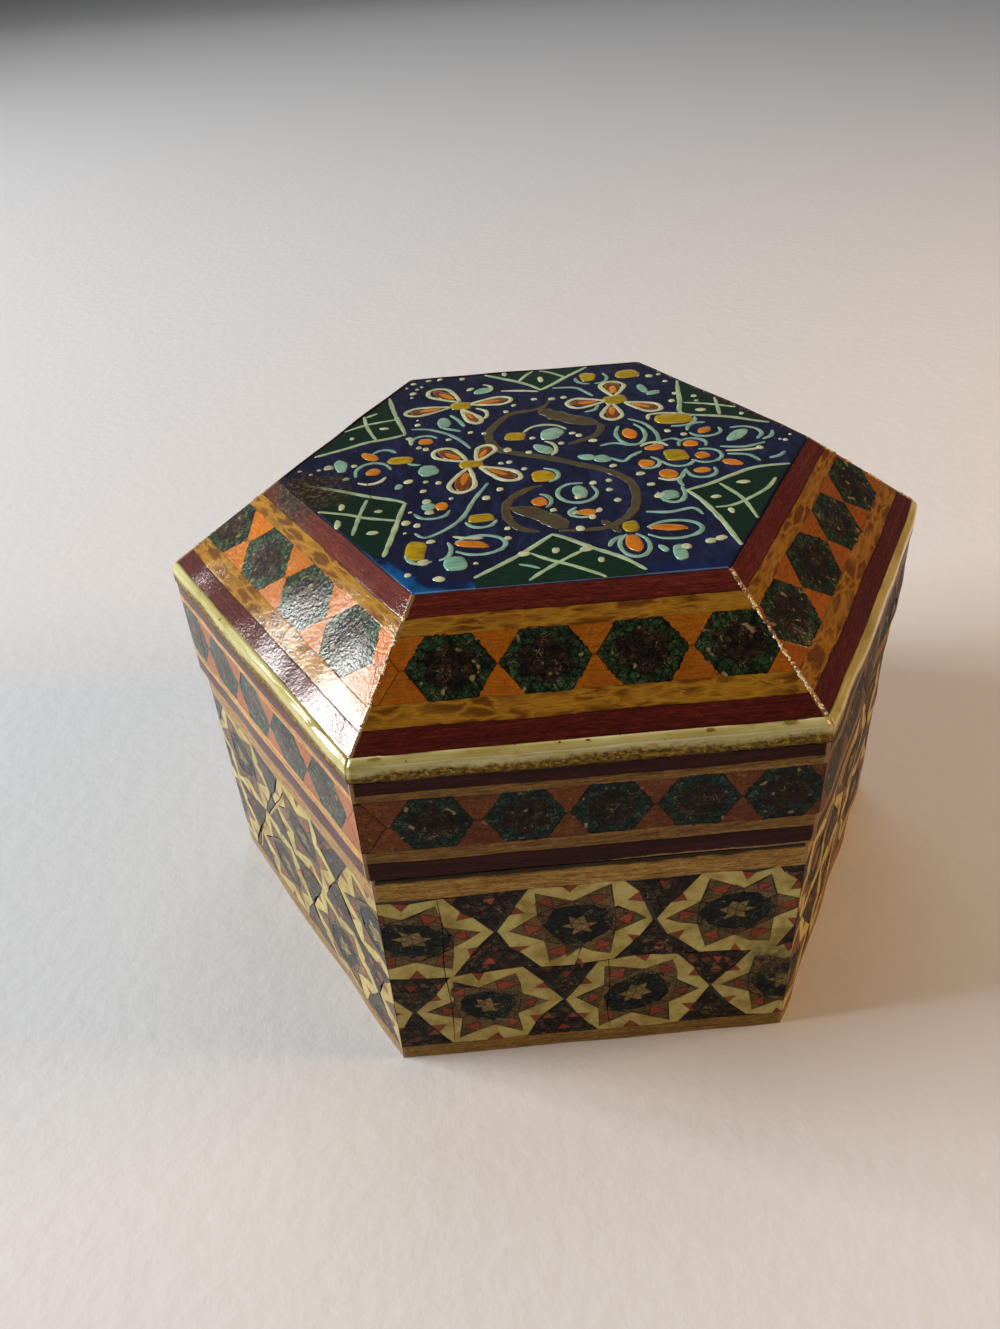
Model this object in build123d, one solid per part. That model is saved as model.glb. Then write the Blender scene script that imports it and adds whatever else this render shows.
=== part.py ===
from build123d import *
import math
import os

# A six-sided marquetry box with a lift-off lid, in millimetres.
# +Z is up, the front side faces -Y, and the origin is the middle of the base on the table.
# Each side is built facing +X, as an outline of (distance from the middle, height) that is
# mitred and then turned to its place.

# Overall sizes
lid_across_flats = 86.6
body_height = 33.8
lid_side_height = 17.6
bevel_drop = 11.0
panel_across_flats = 58.9

# Boards of the carcass
body_setback = 0.6
wall_board_thickness = 4.0
base_board_thickness = 3.5
liner_thickness = 2.0
lip_height = 6.0
lip_chamfer = 0.5
bevel_board_thickness = 4.0
top_board_thickness = 4.0

# Skins, strips and edging glued on the boards
skin_thickness = 1.2
panel_thickness = 1.2
panel_overlap = 2.45
base_strip_height = 2.4
top_strip_height = 3.65
side_lower_plum_height = 2.95
side_lower_blond_height = 1.8
side_upper_blond_height = 1.2
side_upper_plum_height = 1.7
bevel_upper_red_width = 2.6
bevel_upper_blond_width = 2.1
bevel_lower_blond_width = 2.6
bevel_lower_red_width = 2.6
edging_top_width = 0.8
edging_side_height = 2.5
edging_proud = 0.15
edging_radius = 1.0
rim_radius = 0.3
foot_radius = 0.5

# Cloth linings
lining_thickness = 0.8
lid_lining_margin = 0.5

# Clearances
lid_clearance = 0.4
lining_clearance = 0.3
seam_relief = 0.15
mitre_glue = 0.04
panel_glue = 0.05

SIDE_NAMES = ("front", "front_right", "back_right", "back", "back_left", "front_left")
FIRST_SIDE_ANGLE = -90.0
SIDE_STEP = 60.0
HALF_STEP = math.radians(SIDE_STEP / 2)
CUT_MARGIN = 10.0

# Distances from the middle
lid_face = lid_across_flats / 2
lid_core_face = lid_face - skin_thickness
body_face = lid_face - body_setback
wall_outer = body_face - skin_thickness
wall_inner = wall_outer - wall_board_thickness
liner_inner = wall_inner - liner_thickness
lid_board_inner = wall_inner + lid_clearance
panel_edge = panel_across_flats / 2
top_board_edge = panel_edge - panel_overlap

# Heights
fold_height = body_height + lid_side_height
overall_height = fold_height + bevel_drop
core_top = overall_height - panel_thickness
lip_top = body_height + lip_height
lid_skin_bottom = body_height + seam_relief
body_skin_top = body_height - seam_relief
edging_bottom = fold_height - edging_side_height

# The bevel falls from the panel's edge to the fold at the lid's side face
bevel_run = lid_face - panel_edge
bevel_length = math.hypot(bevel_run, bevel_drop)
run_share = bevel_run / bevel_length
drop_share = bevel_drop / bevel_length


def bevel_point(along, depth):
    """Point `along` the slope from the panel's edge, and `depth` under the bevel's surface."""
    return (
        panel_edge + along * run_share - depth * drop_share,
        overall_height - along * drop_share - depth * run_share,
    )


def bevel_height_at(distance, depth):
    """Height of the plane `depth` under the bevel, at a distance from the middle."""
    start, height = bevel_point(0, depth)
    return height - (distance - start) * bevel_drop / bevel_run


def bevel_distance_at(height, depth):
    """Distance from the middle of the plane `depth` under the bevel, at a height."""
    start, top = bevel_point(0, depth)
    return start + (top - height) * bevel_run / bevel_drop


# The sloping boards stand on the side boards where their inner faces meet
bevel_board_depth = skin_thickness + bevel_board_thickness
bevel_board_foot = bevel_height_at(lid_board_inner, bevel_board_depth)


def outline(points, rounded=()):
    """Face in the XZ plane through the points. `rounded` pairs a point with its radius."""
    face = make_face(Plane.XZ * Polyline(*points, close=True))
    for (distance, height), radius in rounded:
        corner = face.vertices().sort_by_distance((distance, 0, height))[0]
        face = fillet(corner, radius)
    return face


def mitre_wedge():
    """The sixth of the box that faces +X, less half a glue line along both mitres."""
    apex = mitre_glue / 2 / math.sin(HALF_STEP)
    reach = lid_face + CUT_MARGIN
    half_width = (reach - apex) * math.tan(HALF_STEP)
    plan = Polyline((apex, 0), (reach, -half_width), (reach, half_width), close=True)
    return extrude(Pos(0, 0, -CUT_MARGIN) * make_face(plan), overall_height + 2 * CUT_MARGIN)


WEDGE = mitre_wedge()


def side_piece(points, rounded=()):
    """One mitred piece of the side that faces +X, with the outline's section."""
    bar = extrude(outline(points, rounded), amount=lid_face + CUT_MARGIN, both=True)
    return bar & WEDGE


def turned(piece, index):
    """The piece, turned from +X to side number `index`."""
    return Rot(0, 0, FIRST_SIDE_ANGLE + index * SIDE_STEP) * piece


def hexagon_plate(edge, bottom, top):
    """Flat hexagon whose sides lie at distance `edge`, with two corners on the X axis."""
    radius = edge / math.cos(HALF_STEP)
    angles = [math.radians(index * SIDE_STEP) for index in range(len(SIDE_NAMES))]
    corners = [(radius * math.cos(angle), radius * math.sin(angle)) for angle in angles]
    plan = make_face(Polyline(*corners, close=True))
    return extrude(Pos(0, 0, bottom) * plan, top - bottom)


def rectangle(inner, outer, bottom, top):
    return [(inner, bottom), (outer, bottom), (outer, top), (inner, top)]


def side_skin(face, bottom, top):
    """Outline of a skin on a vertical side whose outer surface is at `face`."""
    return rectangle(face - skin_thickness, face, bottom, top)


def bevel_skin(start, end):
    """Outline of a skin on the bevel between two distances down the slope."""
    return [
        bevel_point(start, 0),
        bevel_point(end, 0),
        bevel_point(end, skin_thickness),
        bevel_point(start, skin_thickness),
    ]


def wall_board():
    return side_piece(rectangle(wall_inner, wall_outer, 0, body_height))


def liner_board():
    """Inner board that stands on the base and rises past the rim as the lip for the lid."""
    return side_piece(
        [
            (liner_inner, base_board_thickness),
            (wall_inner, base_board_thickness),
            (wall_inner, lip_top - lip_chamfer),
            (wall_inner - lip_chamfer, lip_top),
            (liner_inner, lip_top),
        ]
    )


def body_base_strip():
    points = side_skin(body_face, 0, base_strip_height)
    return side_piece(points, [((body_face, 0), foot_radius)])


def body_khatam_panel():
    return side_piece(
        side_skin(body_face, base_strip_height, body_skin_top - top_strip_height)
    )


def body_top_strip():
    points = side_skin(body_face, body_skin_top - top_strip_height, body_skin_top)
    return side_piece(points, [((body_face, body_skin_top), rim_radius)])


def lid_side_board():
    return side_piece(rectangle(lid_board_inner, lid_core_face, body_height, bevel_board_foot))


def bevel_board():
    """Sloping board from the top board's edge down to the side boards."""
    return side_piece(
        [
            (top_board_edge, core_top),
            (bevel_distance_at(core_top, skin_thickness), core_top),
            (lid_core_face, bevel_height_at(lid_core_face, skin_thickness)),
            (lid_core_face, bevel_board_foot),
            (lid_board_inner, bevel_board_foot),
            (top_board_edge, bevel_height_at(top_board_edge, bevel_board_depth)),
        ]
    )


def edging():
    """Bone edging round the fold, a little proud of the lid's side, with a round corner."""
    face = lid_face + edging_proud
    fold = (face, bevel_height_at(face, 0))
    start = bevel_length - edging_top_width
    return side_piece(
        [
            bevel_point(start, 0),
            fold,
            (face, edging_bottom),
            (lid_core_face, edging_bottom),
            (lid_core_face, bevel_height_at(lid_core_face, skin_thickness)),
            bevel_point(start, skin_thickness),
        ],
        [(fold, edging_radius)],
    )


def bevel_strips():
    """Names and pieces of the bevel's skins, from the painted panel down to the edging."""
    upper_blond = bevel_upper_red_width
    band = upper_blond + bevel_upper_blond_width
    lower_red = bevel_length - edging_top_width - bevel_lower_red_width
    lower_blond = lower_red - bevel_lower_blond_width
    first = bevel_skin(0, upper_blond)
    first[3] = (panel_edge, bevel_height_at(panel_edge, skin_thickness))
    return {
        "bevel_upper_red_strips": side_piece(first),
        "bevel_upper_blond_strips": side_piece(bevel_skin(upper_blond, band)),
        "bevel_khatam_bands": side_piece(bevel_skin(band, lower_blond)),
        "bevel_lower_blond_strips": side_piece(bevel_skin(lower_blond, lower_red)),
        "bevel_lower_red_strips": side_piece(
            bevel_skin(lower_red, lower_red + bevel_lower_red_width)
        ),
    }


def lid_side_strips():
    """Names and pieces of the skins on the lid's vertical sides, from the rim upwards."""
    lower_blond = lid_skin_bottom + side_lower_plum_height
    band = lower_blond + side_lower_blond_height
    upper_plum = edging_bottom - side_upper_plum_height
    upper_blond = upper_plum - side_upper_blond_height
    rim = [((lid_face, lid_skin_bottom), rim_radius)]
    return {
        "lid_side_lower_plum_strips": side_piece(
            side_skin(lid_face, lid_skin_bottom, lower_blond), rim
        ),
        "lid_side_lower_blond_strips": side_piece(side_skin(lid_face, lower_blond, band)),
        "lid_side_khatam_bands": side_piece(side_skin(lid_face, band, upper_blond)),
        "lid_side_upper_blond_strips": side_piece(
            side_skin(lid_face, upper_blond, upper_plum)
        ),
        "lid_side_upper_plum_strips": side_piece(
            side_skin(lid_face, upper_plum, edging_bottom)
        ),
    }


def write(name, shape):
    export_step(shape, f"parts/{name}.step")


def write_each_side(stem, piece):
    """One file for each of the six sides."""
    for index, side in enumerate(SIDE_NAMES):
        write(f"{stem}_{side}", turned(piece, index))


def write_together(name, piece):
    """One file that holds the same piece on all six sides."""
    copies = [turned(piece, index) for index in range(len(SIDE_NAMES))]
    write(name, Compound(children=copies))


def write_body():
    write("base_board", hexagon_plate(wall_inner - panel_glue, 0, base_board_thickness))
    write_each_side("wall_board", wall_board())
    write_each_side("liner_board", liner_board())
    write_each_side("body_khatam_panel", body_khatam_panel())
    write_together("body_base_strips", body_base_strip())
    write_together("body_top_strips", body_top_strip())
    lining_top = base_board_thickness + lining_thickness
    lining_edge = liner_inner - lining_clearance
    write("floor_lining", hexagon_plate(lining_edge, base_board_thickness, lining_top))


def write_lid():
    top_board_bottom = core_top - top_board_thickness
    lining_edge = top_board_edge - lid_lining_margin
    write_each_side("lid_side_board", lid_side_board())
    write_each_side("lid_bevel_board", bevel_board())
    write_each_side("bone_edging", edging())
    for name, piece in {**bevel_strips(), **lid_side_strips()}.items():
        write_together(name, piece)
    write("lid_top_board", hexagon_plate(top_board_edge - panel_glue, top_board_bottom, core_top))
    write("painted_panel", hexagon_plate(panel_edge - panel_glue, core_top, overall_height))
    write(
        "lid_lining",
        hexagon_plate(lining_edge, top_board_bottom - lining_thickness, top_board_bottom),
    )


os.makedirs("parts", exist_ok=True)
write_body()
write_lid()
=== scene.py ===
import math
import random
from functools import partial

import bpy
from mathutils import Matrix, Vector, noise


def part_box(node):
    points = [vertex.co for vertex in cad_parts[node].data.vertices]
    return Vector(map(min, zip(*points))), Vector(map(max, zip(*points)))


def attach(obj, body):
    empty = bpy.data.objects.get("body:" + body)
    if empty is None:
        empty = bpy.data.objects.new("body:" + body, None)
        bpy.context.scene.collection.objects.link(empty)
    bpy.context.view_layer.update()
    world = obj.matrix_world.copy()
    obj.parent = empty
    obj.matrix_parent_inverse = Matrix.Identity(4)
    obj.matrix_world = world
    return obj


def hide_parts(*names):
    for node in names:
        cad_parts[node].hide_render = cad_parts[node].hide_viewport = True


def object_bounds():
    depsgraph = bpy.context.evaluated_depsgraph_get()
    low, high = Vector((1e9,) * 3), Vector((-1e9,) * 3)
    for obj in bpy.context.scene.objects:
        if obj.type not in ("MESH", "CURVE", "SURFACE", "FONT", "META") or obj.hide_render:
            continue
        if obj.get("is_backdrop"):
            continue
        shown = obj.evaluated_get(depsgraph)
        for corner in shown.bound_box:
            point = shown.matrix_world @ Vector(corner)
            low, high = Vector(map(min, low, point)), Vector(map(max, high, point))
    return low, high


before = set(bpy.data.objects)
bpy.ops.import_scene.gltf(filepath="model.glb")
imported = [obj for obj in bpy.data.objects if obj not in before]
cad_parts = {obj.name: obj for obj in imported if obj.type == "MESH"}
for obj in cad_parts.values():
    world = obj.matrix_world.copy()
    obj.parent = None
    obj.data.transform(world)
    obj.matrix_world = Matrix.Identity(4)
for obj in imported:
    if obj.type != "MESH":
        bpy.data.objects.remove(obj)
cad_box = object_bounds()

# Lengths are in millimetres until a point is made, and MM turns them into metres.
# A place on a side is (u along the side, v up its surface, lift off the surface).
MM = 0.001
SIDES = ("front", "front_right", "back_right", "back", "back_left", "front_left")
FRONT, FRONT_LEFT = 0, 5
SIDE_ANGLES = [math.radians(60 * side - 90) for side in range(6)]
OUTWARD = [(math.cos(angle), math.sin(angle)) for angle in SIDE_ANGLES]
HALF_TAN = math.tan(math.radians(30))
CORNER_REACH = 1 / math.cos(math.radians(30))
ROW_SHARE = math.sin(math.radians(60))
UP = Vector((0, 0, 1))
WHITE = (1, 1, 1, 1)

# Gaps and edges
MITRE_GAP = 0.03
SEAM_RISE = 0.32
EDGE_WOBBLE = 0.18
EDGE_RAGGED = 0.05

# Strips
STRIP_THICKNESS = 1.2
STRIP_GAP = 0.012
STRIP_LIFT = 0.03
STATION_SPACING = 0.5
END_WEAR_REACH = 0.55
FOOT_DUSK = 0.72

# Tiles
TILE_LIFT = 0.02
TILE_DEPTH = 0.12
TILE_GLUE = 0.02
TILE_UNDERLAP = 0.15
TILE_STRAY = 0.17
TILE_LEVEL_SPREAD = 0.005
SMALLEST_TILE = 0.01
JOINT_SOFTNESS = 0.11
JOINT_TINT = 0.55
STAR_STRAY = 1.6
TOOTH_RISE = 0.012
TOOTH_GAPS = 0.45

# How far the boards of each side swell, from the front round
SWELLING = (0.10, 0.55, 0.16, 0.12, 0.18, 0.28)
SWELLING_FADE = 5

# How much glossier the front left side is than the others, and how much lighter its colours are painted
# there, as painted light and reflection on that side
GLOSSY_COAT = 0.62
SIDE_PAINTED_LIGHT = 2.2
BAND_PAINTED_LIGHT = 2.8
BEVEL_PAINTED_LIGHT = 1.25
BEVEL_BAND_PAINTED_LIGHT = 1.7


def srgb(red, green, blue, alpha=1):
    """Linear colour from the 0 to 255 values of a screen colour."""
    shares = [value / 255 for value in (red, green, blue)]
    return (*(s / 12.92 if s <= 0.04045 else ((s + 0.055) / 1.055) ** 2.4 for s in shares), alpha)


def toned(tint, level):
    return (*(value * level for value in tint[:3]), tint[3])


def varied(tint, chance, spread):
    """A tint a little lighter or darker, and a little off in hue."""
    level = 1 + chance.uniform(-spread, spread)
    channels = [value * level * (1 + chance.uniform(-spread, spread) * 0.35) for value in tint[:3]]
    return (*channels, tint[3])


def lump(x, y, z):
    """Smooth noise round zero, the same in every run."""
    return noise.noise(Vector((x, y, z)))


def box_mm(node):
    low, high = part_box(node)
    return Vector(low) / MM, Vector(high) / MM


# Distances and heights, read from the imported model

panel_box = box_mm("painted_panel")
panel_top = panel_box[1].z
panel_edge = panel_box[1].y
lid_face = box_mm("lid_side_khatam_bands")[1].y
body_face = box_mm("body_khatam_panel_back")[1].y
bevel_upper = Vector((box_mm("bevel_upper_red_strips")[1].y, box_mm("bevel_upper_blond_strips")[1].z))
bevel_lower = Vector((box_mm("bevel_lower_blond_strips")[1].y, box_mm("bevel_lower_red_strips")[1].z))
bevel_slope = (bevel_lower - bevel_upper).normalized()
bevel_top = bevel_upper + bevel_slope * ((panel_top - bevel_upper.y) / bevel_slope.y)
bevel_length = (lid_face - bevel_top.x) / bevel_slope.x


def bevel_place(along):
    """(distance from the middle, height) of a point `along` the slope from the panel's edge."""
    return bevel_top + bevel_slope * along


def bevel_span(node):
    """Where a node on the bevel starts and ends, along the slope from the panel's edge."""
    low, high = box_mm(node)
    return (panel_top - high.z) / -bevel_slope.y, (high.y - bevel_top.x) / bevel_slope.x


def wander(side, where, u):
    """How far a hand-cut edge strays from its line, the same for the pieces on both sides of it."""
    line = where * 0.9
    broad, fine = lump(u * 0.09, line, side * 11.7), lump(u * 1.1, line + 50, side * 11.7)
    return EDGE_WOBBLE * broad + EDGE_RAGGED * fine


class Field:
    """A flat surface on one side of the box, between two (distance, height) lines."""

    def __init__(self, side, low, high, fade):
        self.side = side
        # On the front left side the colours are made lighter: painted light and reflection
        self.fade = fade if side == FRONT_LEFT else 1
        self.outward = Vector((*OUTWARD[side], 0))
        self.along = UP.cross(self.outward)
        self.low = Vector(low)
        rise = Vector(high) - self.low
        self.width, self.rise = rise.length, rise.normalized()
        self.normal = Vector((self.rise.y, -self.rise.x))

    def flat(self, v, lift=0):
        """(distance from the middle, height) of a place on the field."""
        return self.low + self.rise * v + self.normal * lift

    def half_length(self, v, lift=0):
        return self.flat(v, lift).x * HALF_TAN - MITRE_GAP

    def swelling(self, u, v):
        """How far the warped boards stand out here, fading towards the mitres."""
        flat = self.flat(v)
        inside = max(0, min(1, (flat.x * HALF_TAN - abs(u)) / SWELLING_FADE))
        return SWELLING[self.side] * inside * (0.5 + lump(u * 0.10, flat.y * 0.16, self.side * 7.7))

    def point(self, u, v, lift=0):
        if lift > -TILE_DEPTH:
            lift += self.swelling(u, v)
        flat = self.flat(v, lift)
        return (self.outward * flat.x + self.along * u + UP * flat.y) * MM

    def trapezoid(self):
        low, high = self.half_length(0), self.half_length(self.width)
        return [(-low, 0), (low, 0), (high, self.width), (-high, self.width)]


def fields_between(low, high, fade):
    """A field on each side, between two (distance, height) lines."""
    return [Field(side, low, high, fade) for side in range(len(SIDES))]


def side_fields(face, low, high, fade=1):
    return fields_between((face, low), (face, high), fade)


def bevel_fields(start, end, fade=BEVEL_PAINTED_LIGHT):
    return fields_between(bevel_place(end), bevel_place(start), fade)


# Flat shapes

def around(outline):
    """Each point of a closed outline with the next one."""
    return list(zip(outline, outline[1:] + outline[:1]))


def between(a, b, share):
    return (a[0] + (b[0] - a[0]) * share, a[1] + (b[1] - a[1]) * share)


def polar(centre, radius, degrees, squash=1):
    angle = math.radians(degrees)
    return (centre[0] + radius * math.cos(angle), centre[1] + radius * math.sin(angle) * squash)


def hexagon(centre, radius, squash=1):
    return [polar(centre, radius, 60 * corner, squash) for corner in range(6)]


def clip(polygon, point, inward):
    """The part of a polygon on the inner side of a line."""
    depths = [(x - point[0]) * inward[0] + (y - point[1]) * inward[1] for x, y in polygon]
    kept = []
    for index, here in enumerate(polygon):
        depth, before = depths[index], depths[index - 1]
        if (depth < 0) != (before < 0):
            kept.append(between(polygon[index - 1], here, before / (before - depth)))
        if depth >= 0:
            kept.append(here)
    return kept


def within(polygon, outline, margin=0):
    """The part of a convex polygon inside an anticlockwise outline, less a margin along it."""
    for here, there in around(outline):
        along = (there[0] - here[0], there[1] - here[1])
        length = math.hypot(*along)
        if length > 1e-6:
            inward = (-along[1] / length, along[0] / length)
            edge = (here[0] + inward[0] * margin, here[1] + inward[1] * margin)
            polygon = clip(polygon, edge, inward)
        if len(polygon) < 3:
            return []
    return polygon


def area(polygon):
    return 0.5 * sum(a[0] * b[1] - b[0] * a[1] for a, b in around(polygon))


def anticlockwise(polygon):
    return polygon if area(polygon) > 0 else polygon[::-1]


def small_triangles(corner_a, corner_b, corner_c, count):
    """A triangle cut into rows of small triangles, each with its row and place in the row."""
    def node(row, column):
        left, right = (between(corner_a, end, row / count) for end in (corner_b, corner_c))
        return between(left, right, column / row) if row else corner_a

    for row in range(count):
        for place in range(2 * row + 1):
            column, inverted = divmod(place, 2)
            top, after = node(row, column), node(row + 1, column + 1)
            if inverted:
                yield row, place, [top, after, node(row, column + 1)]
            else:
                yield row, place, [top, node(row + 1, column), after]


# Meshes that carry a colour and a grain direction with each point

def add_object(name, data):
    item = bpy.data.objects.new(name, data)
    bpy.context.scene.collection.objects.link(item)
    return item


class Shape:
    """Faces gathered for one object, with a tint and a grain place at each vertex."""

    def __init__(self):
        self.vertices = []
        self.faces = []

    def loft(self, rings):
        """Closed solid through rings of (point, tint, grain) that all have the same count."""
        base, count = len(self.vertices), len(rings[0])
        for row, ring in enumerate(rings):
            self.vertices += ring
            first = base + row * count
            numbers = list(range(first, first + count))
            if row:
                for (a, b), (c, d) in zip(around(before), around(numbers)):
                    self.faces.append([a, b, d, c])
            before = numbers
        self.faces += [list(range(base, base + count))[::-1], before]

    def build(self, name, material, body, slot, *nodes, smooth=False):
        points, tints, grains = zip(*self.vertices)
        mesh = bpy.data.meshes.new(name)
        mesh.from_pydata(points, [], self.faces)
        for label, kind, key, values in (
            ("tint", "FLOAT_COLOR", "color", tints), ("grain", "FLOAT_VECTOR", "vector", grains)
        ):
            layer = mesh.attributes.new(label, kind, "POINT")
            layer.data.foreach_set(key, [number for value in values for number in value])
        mesh.materials.append(material)
        mesh.polygons.foreach_set("use_smooth", [smooth] * len(mesh.polygons))
        mesh.validate()
        piece = add_object(name, mesh)
        if nodes:
            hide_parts(*nodes)
        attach(piece, body)
        return piece


def side_bar(shape, field, section, seed):
    """A mitred bar on a field. section gives (v, lift, shade, wear) for a place along the side."""
    longest = field.half_length(0)
    steps = max(2, round(2 * longest / STATION_SPACING))
    rings = []
    for step in range(steps + 1):
        share = 2 * step / steps - 1
        ring = []
        for v, lift, level, wear in section(share * longest):
            half = field.half_length(v, lift)
            wear = max(wear, 1 - (1 - abs(share)) * half / END_WEAR_REACH)
            # The field's painted light makes the front left side's strips lighter
            tint = (*[level * field.fade] * 3, 1 - wear)
            ring.append((field.point(share * half, v, lift), tint, (share * half, v, seed)))
        rings.append(ring)
    shape.loft(rings)


# Each edge of a strip, from its foot up to the face: inset, drop below the face, shade
PLAIN_EDGE = ((0, -STRIP_THICKNESS, 0.30), (0, -0.03, 0.30), (0.012, -0.005, 0.62), (0.08, 0, 0.90),
              (0.24, 0.004, 1))
# The lid's rim is dark at its foot and the body's rim is dark in a wide band below its edge: painted shadow
# in the seam under the lid, with some wear
LID_RIM = ((0, -STRIP_THICKNESS, 0.10), (0, -0.16, 0.10), (0.04, -0.05, 0.5), (0.16, 0, 0.8),
           (0.40, 0.004, 1))
BODY_RIM = ((0, -STRIP_THICKNESS, 0.08), (0, -0.08, 0.08), (0.05, -0.024, 0.08), (0.20, 0, 0.08),
            (0.52, 0.004, 0.10), (0.85, 0.006, 1))
ARRIS_ZONE = 0.3
# How far a strip's middle stands above its edges, and how far its surface rolls
CROWN_RISE = 0.01
CROWN_ROLL = 0.02
# The lid's rim is worn pale towards one end of each side, which is also a painted highlight along its edge:
# half the side's length, and the most of it
RIM_HALF_LENGTH = 26
MOST_RIM_WEAR_AND_HIGHLIGHT = 0.85


def strip_section(field, rim):
    """Section of a flat strip with fine arrises and edges that wander a little."""
    side = field.side
    low_line, high_line = field.low.y, field.flat(field.width).y

    def section(u):
        ripple, slow = lump(u * 0.35, 9, side * 3), lump(u * 0.07, 4, side * 3)
        low = STRIP_GAP + wander(side, low_line, u)
        high = field.width - STRIP_GAP + wander(side, high_line, u)
        low_edge = high_edge = PLAIN_EDGE
        low_wear_and_highlight, dusk = 0, 1
        if rim == "foot":
            low, low_wear_and_highlight, dusk = 0, 0.45 + 0.4 * slow, FOOT_DUSK
        elif rim == "lid":
            # Dark at the foot: painted shadow in the seam
            low_edge = LID_RIM
            low = SEAM_RISE + 0.22 * slow + 0.08 * ripple
            # Pale towards one end: wear, with a painted highlight along the edge
            one_end = u / RIM_HALF_LENGTH * (1 if side % 2 == 0 else -1)
            low_wear_and_highlight = min(MOST_RIM_WEAR_AND_HIGHLIGHT, max(0, 0.35 + one_end + 0.4 * ripple))
        elif rim == "body":
            # A wide dark band below the rim: painted shadow under the lid's overhang, with some wear
            high_edge = BODY_RIM
            high = field.width - 0.08 - 0.06 * ripple
        crown = STRIP_LIFT + CROWN_ROLL * lump(u * 0.2, low_line, side)

        def edge_points(line, way, edge, wear):
            points = []
            for inset, drop, level in edge:
                lift = drop if drop == -STRIP_THICKNESS else crown + drop
                if edge is BODY_RIM and inset > ARRIS_ZONE:
                    inset *= 1 + 0.5 * ripple + 0.5 * slow
                here = wear if inset < ARRIS_ZONE else 0.3 * wear
                points.append((line + way * inset, lift, level * dusk, here))
            return points

        middle = ((low + high) / 2, crown + CROWN_RISE, dusk, 0)
        low_points = edge_points(low, 1, low_edge, low_wear_and_highlight)
        return edge_points(high, -1, high_edge, 0) + [middle] + low_points[::-1]

    return section


def strips(node, material, body, fields, rim=None):
    """The same strip on all six sides."""
    shape = Shape()
    for field in fields:
        side_bar(shape, field, strip_section(field, rim), field.side * 17 + len(node))
    slot = "red_wood" if "red" in node else "plum_wood" if "plum" in node else "blond_wood"
    shape.build(f"{node}_finish", material, body, slot, node)


# Materials

BARE_WOOD = srgb(158, 126, 84)
PANEL_DIRT = (-30.5, -4, panel_top)
BODY_DIRT = (22, -body_face, 13)
PALE_RIM_SIDES = (FRONT, FRONT_LEFT)
PALE_RIM_CORNER = (-17, -29.4, panel_top)


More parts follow.
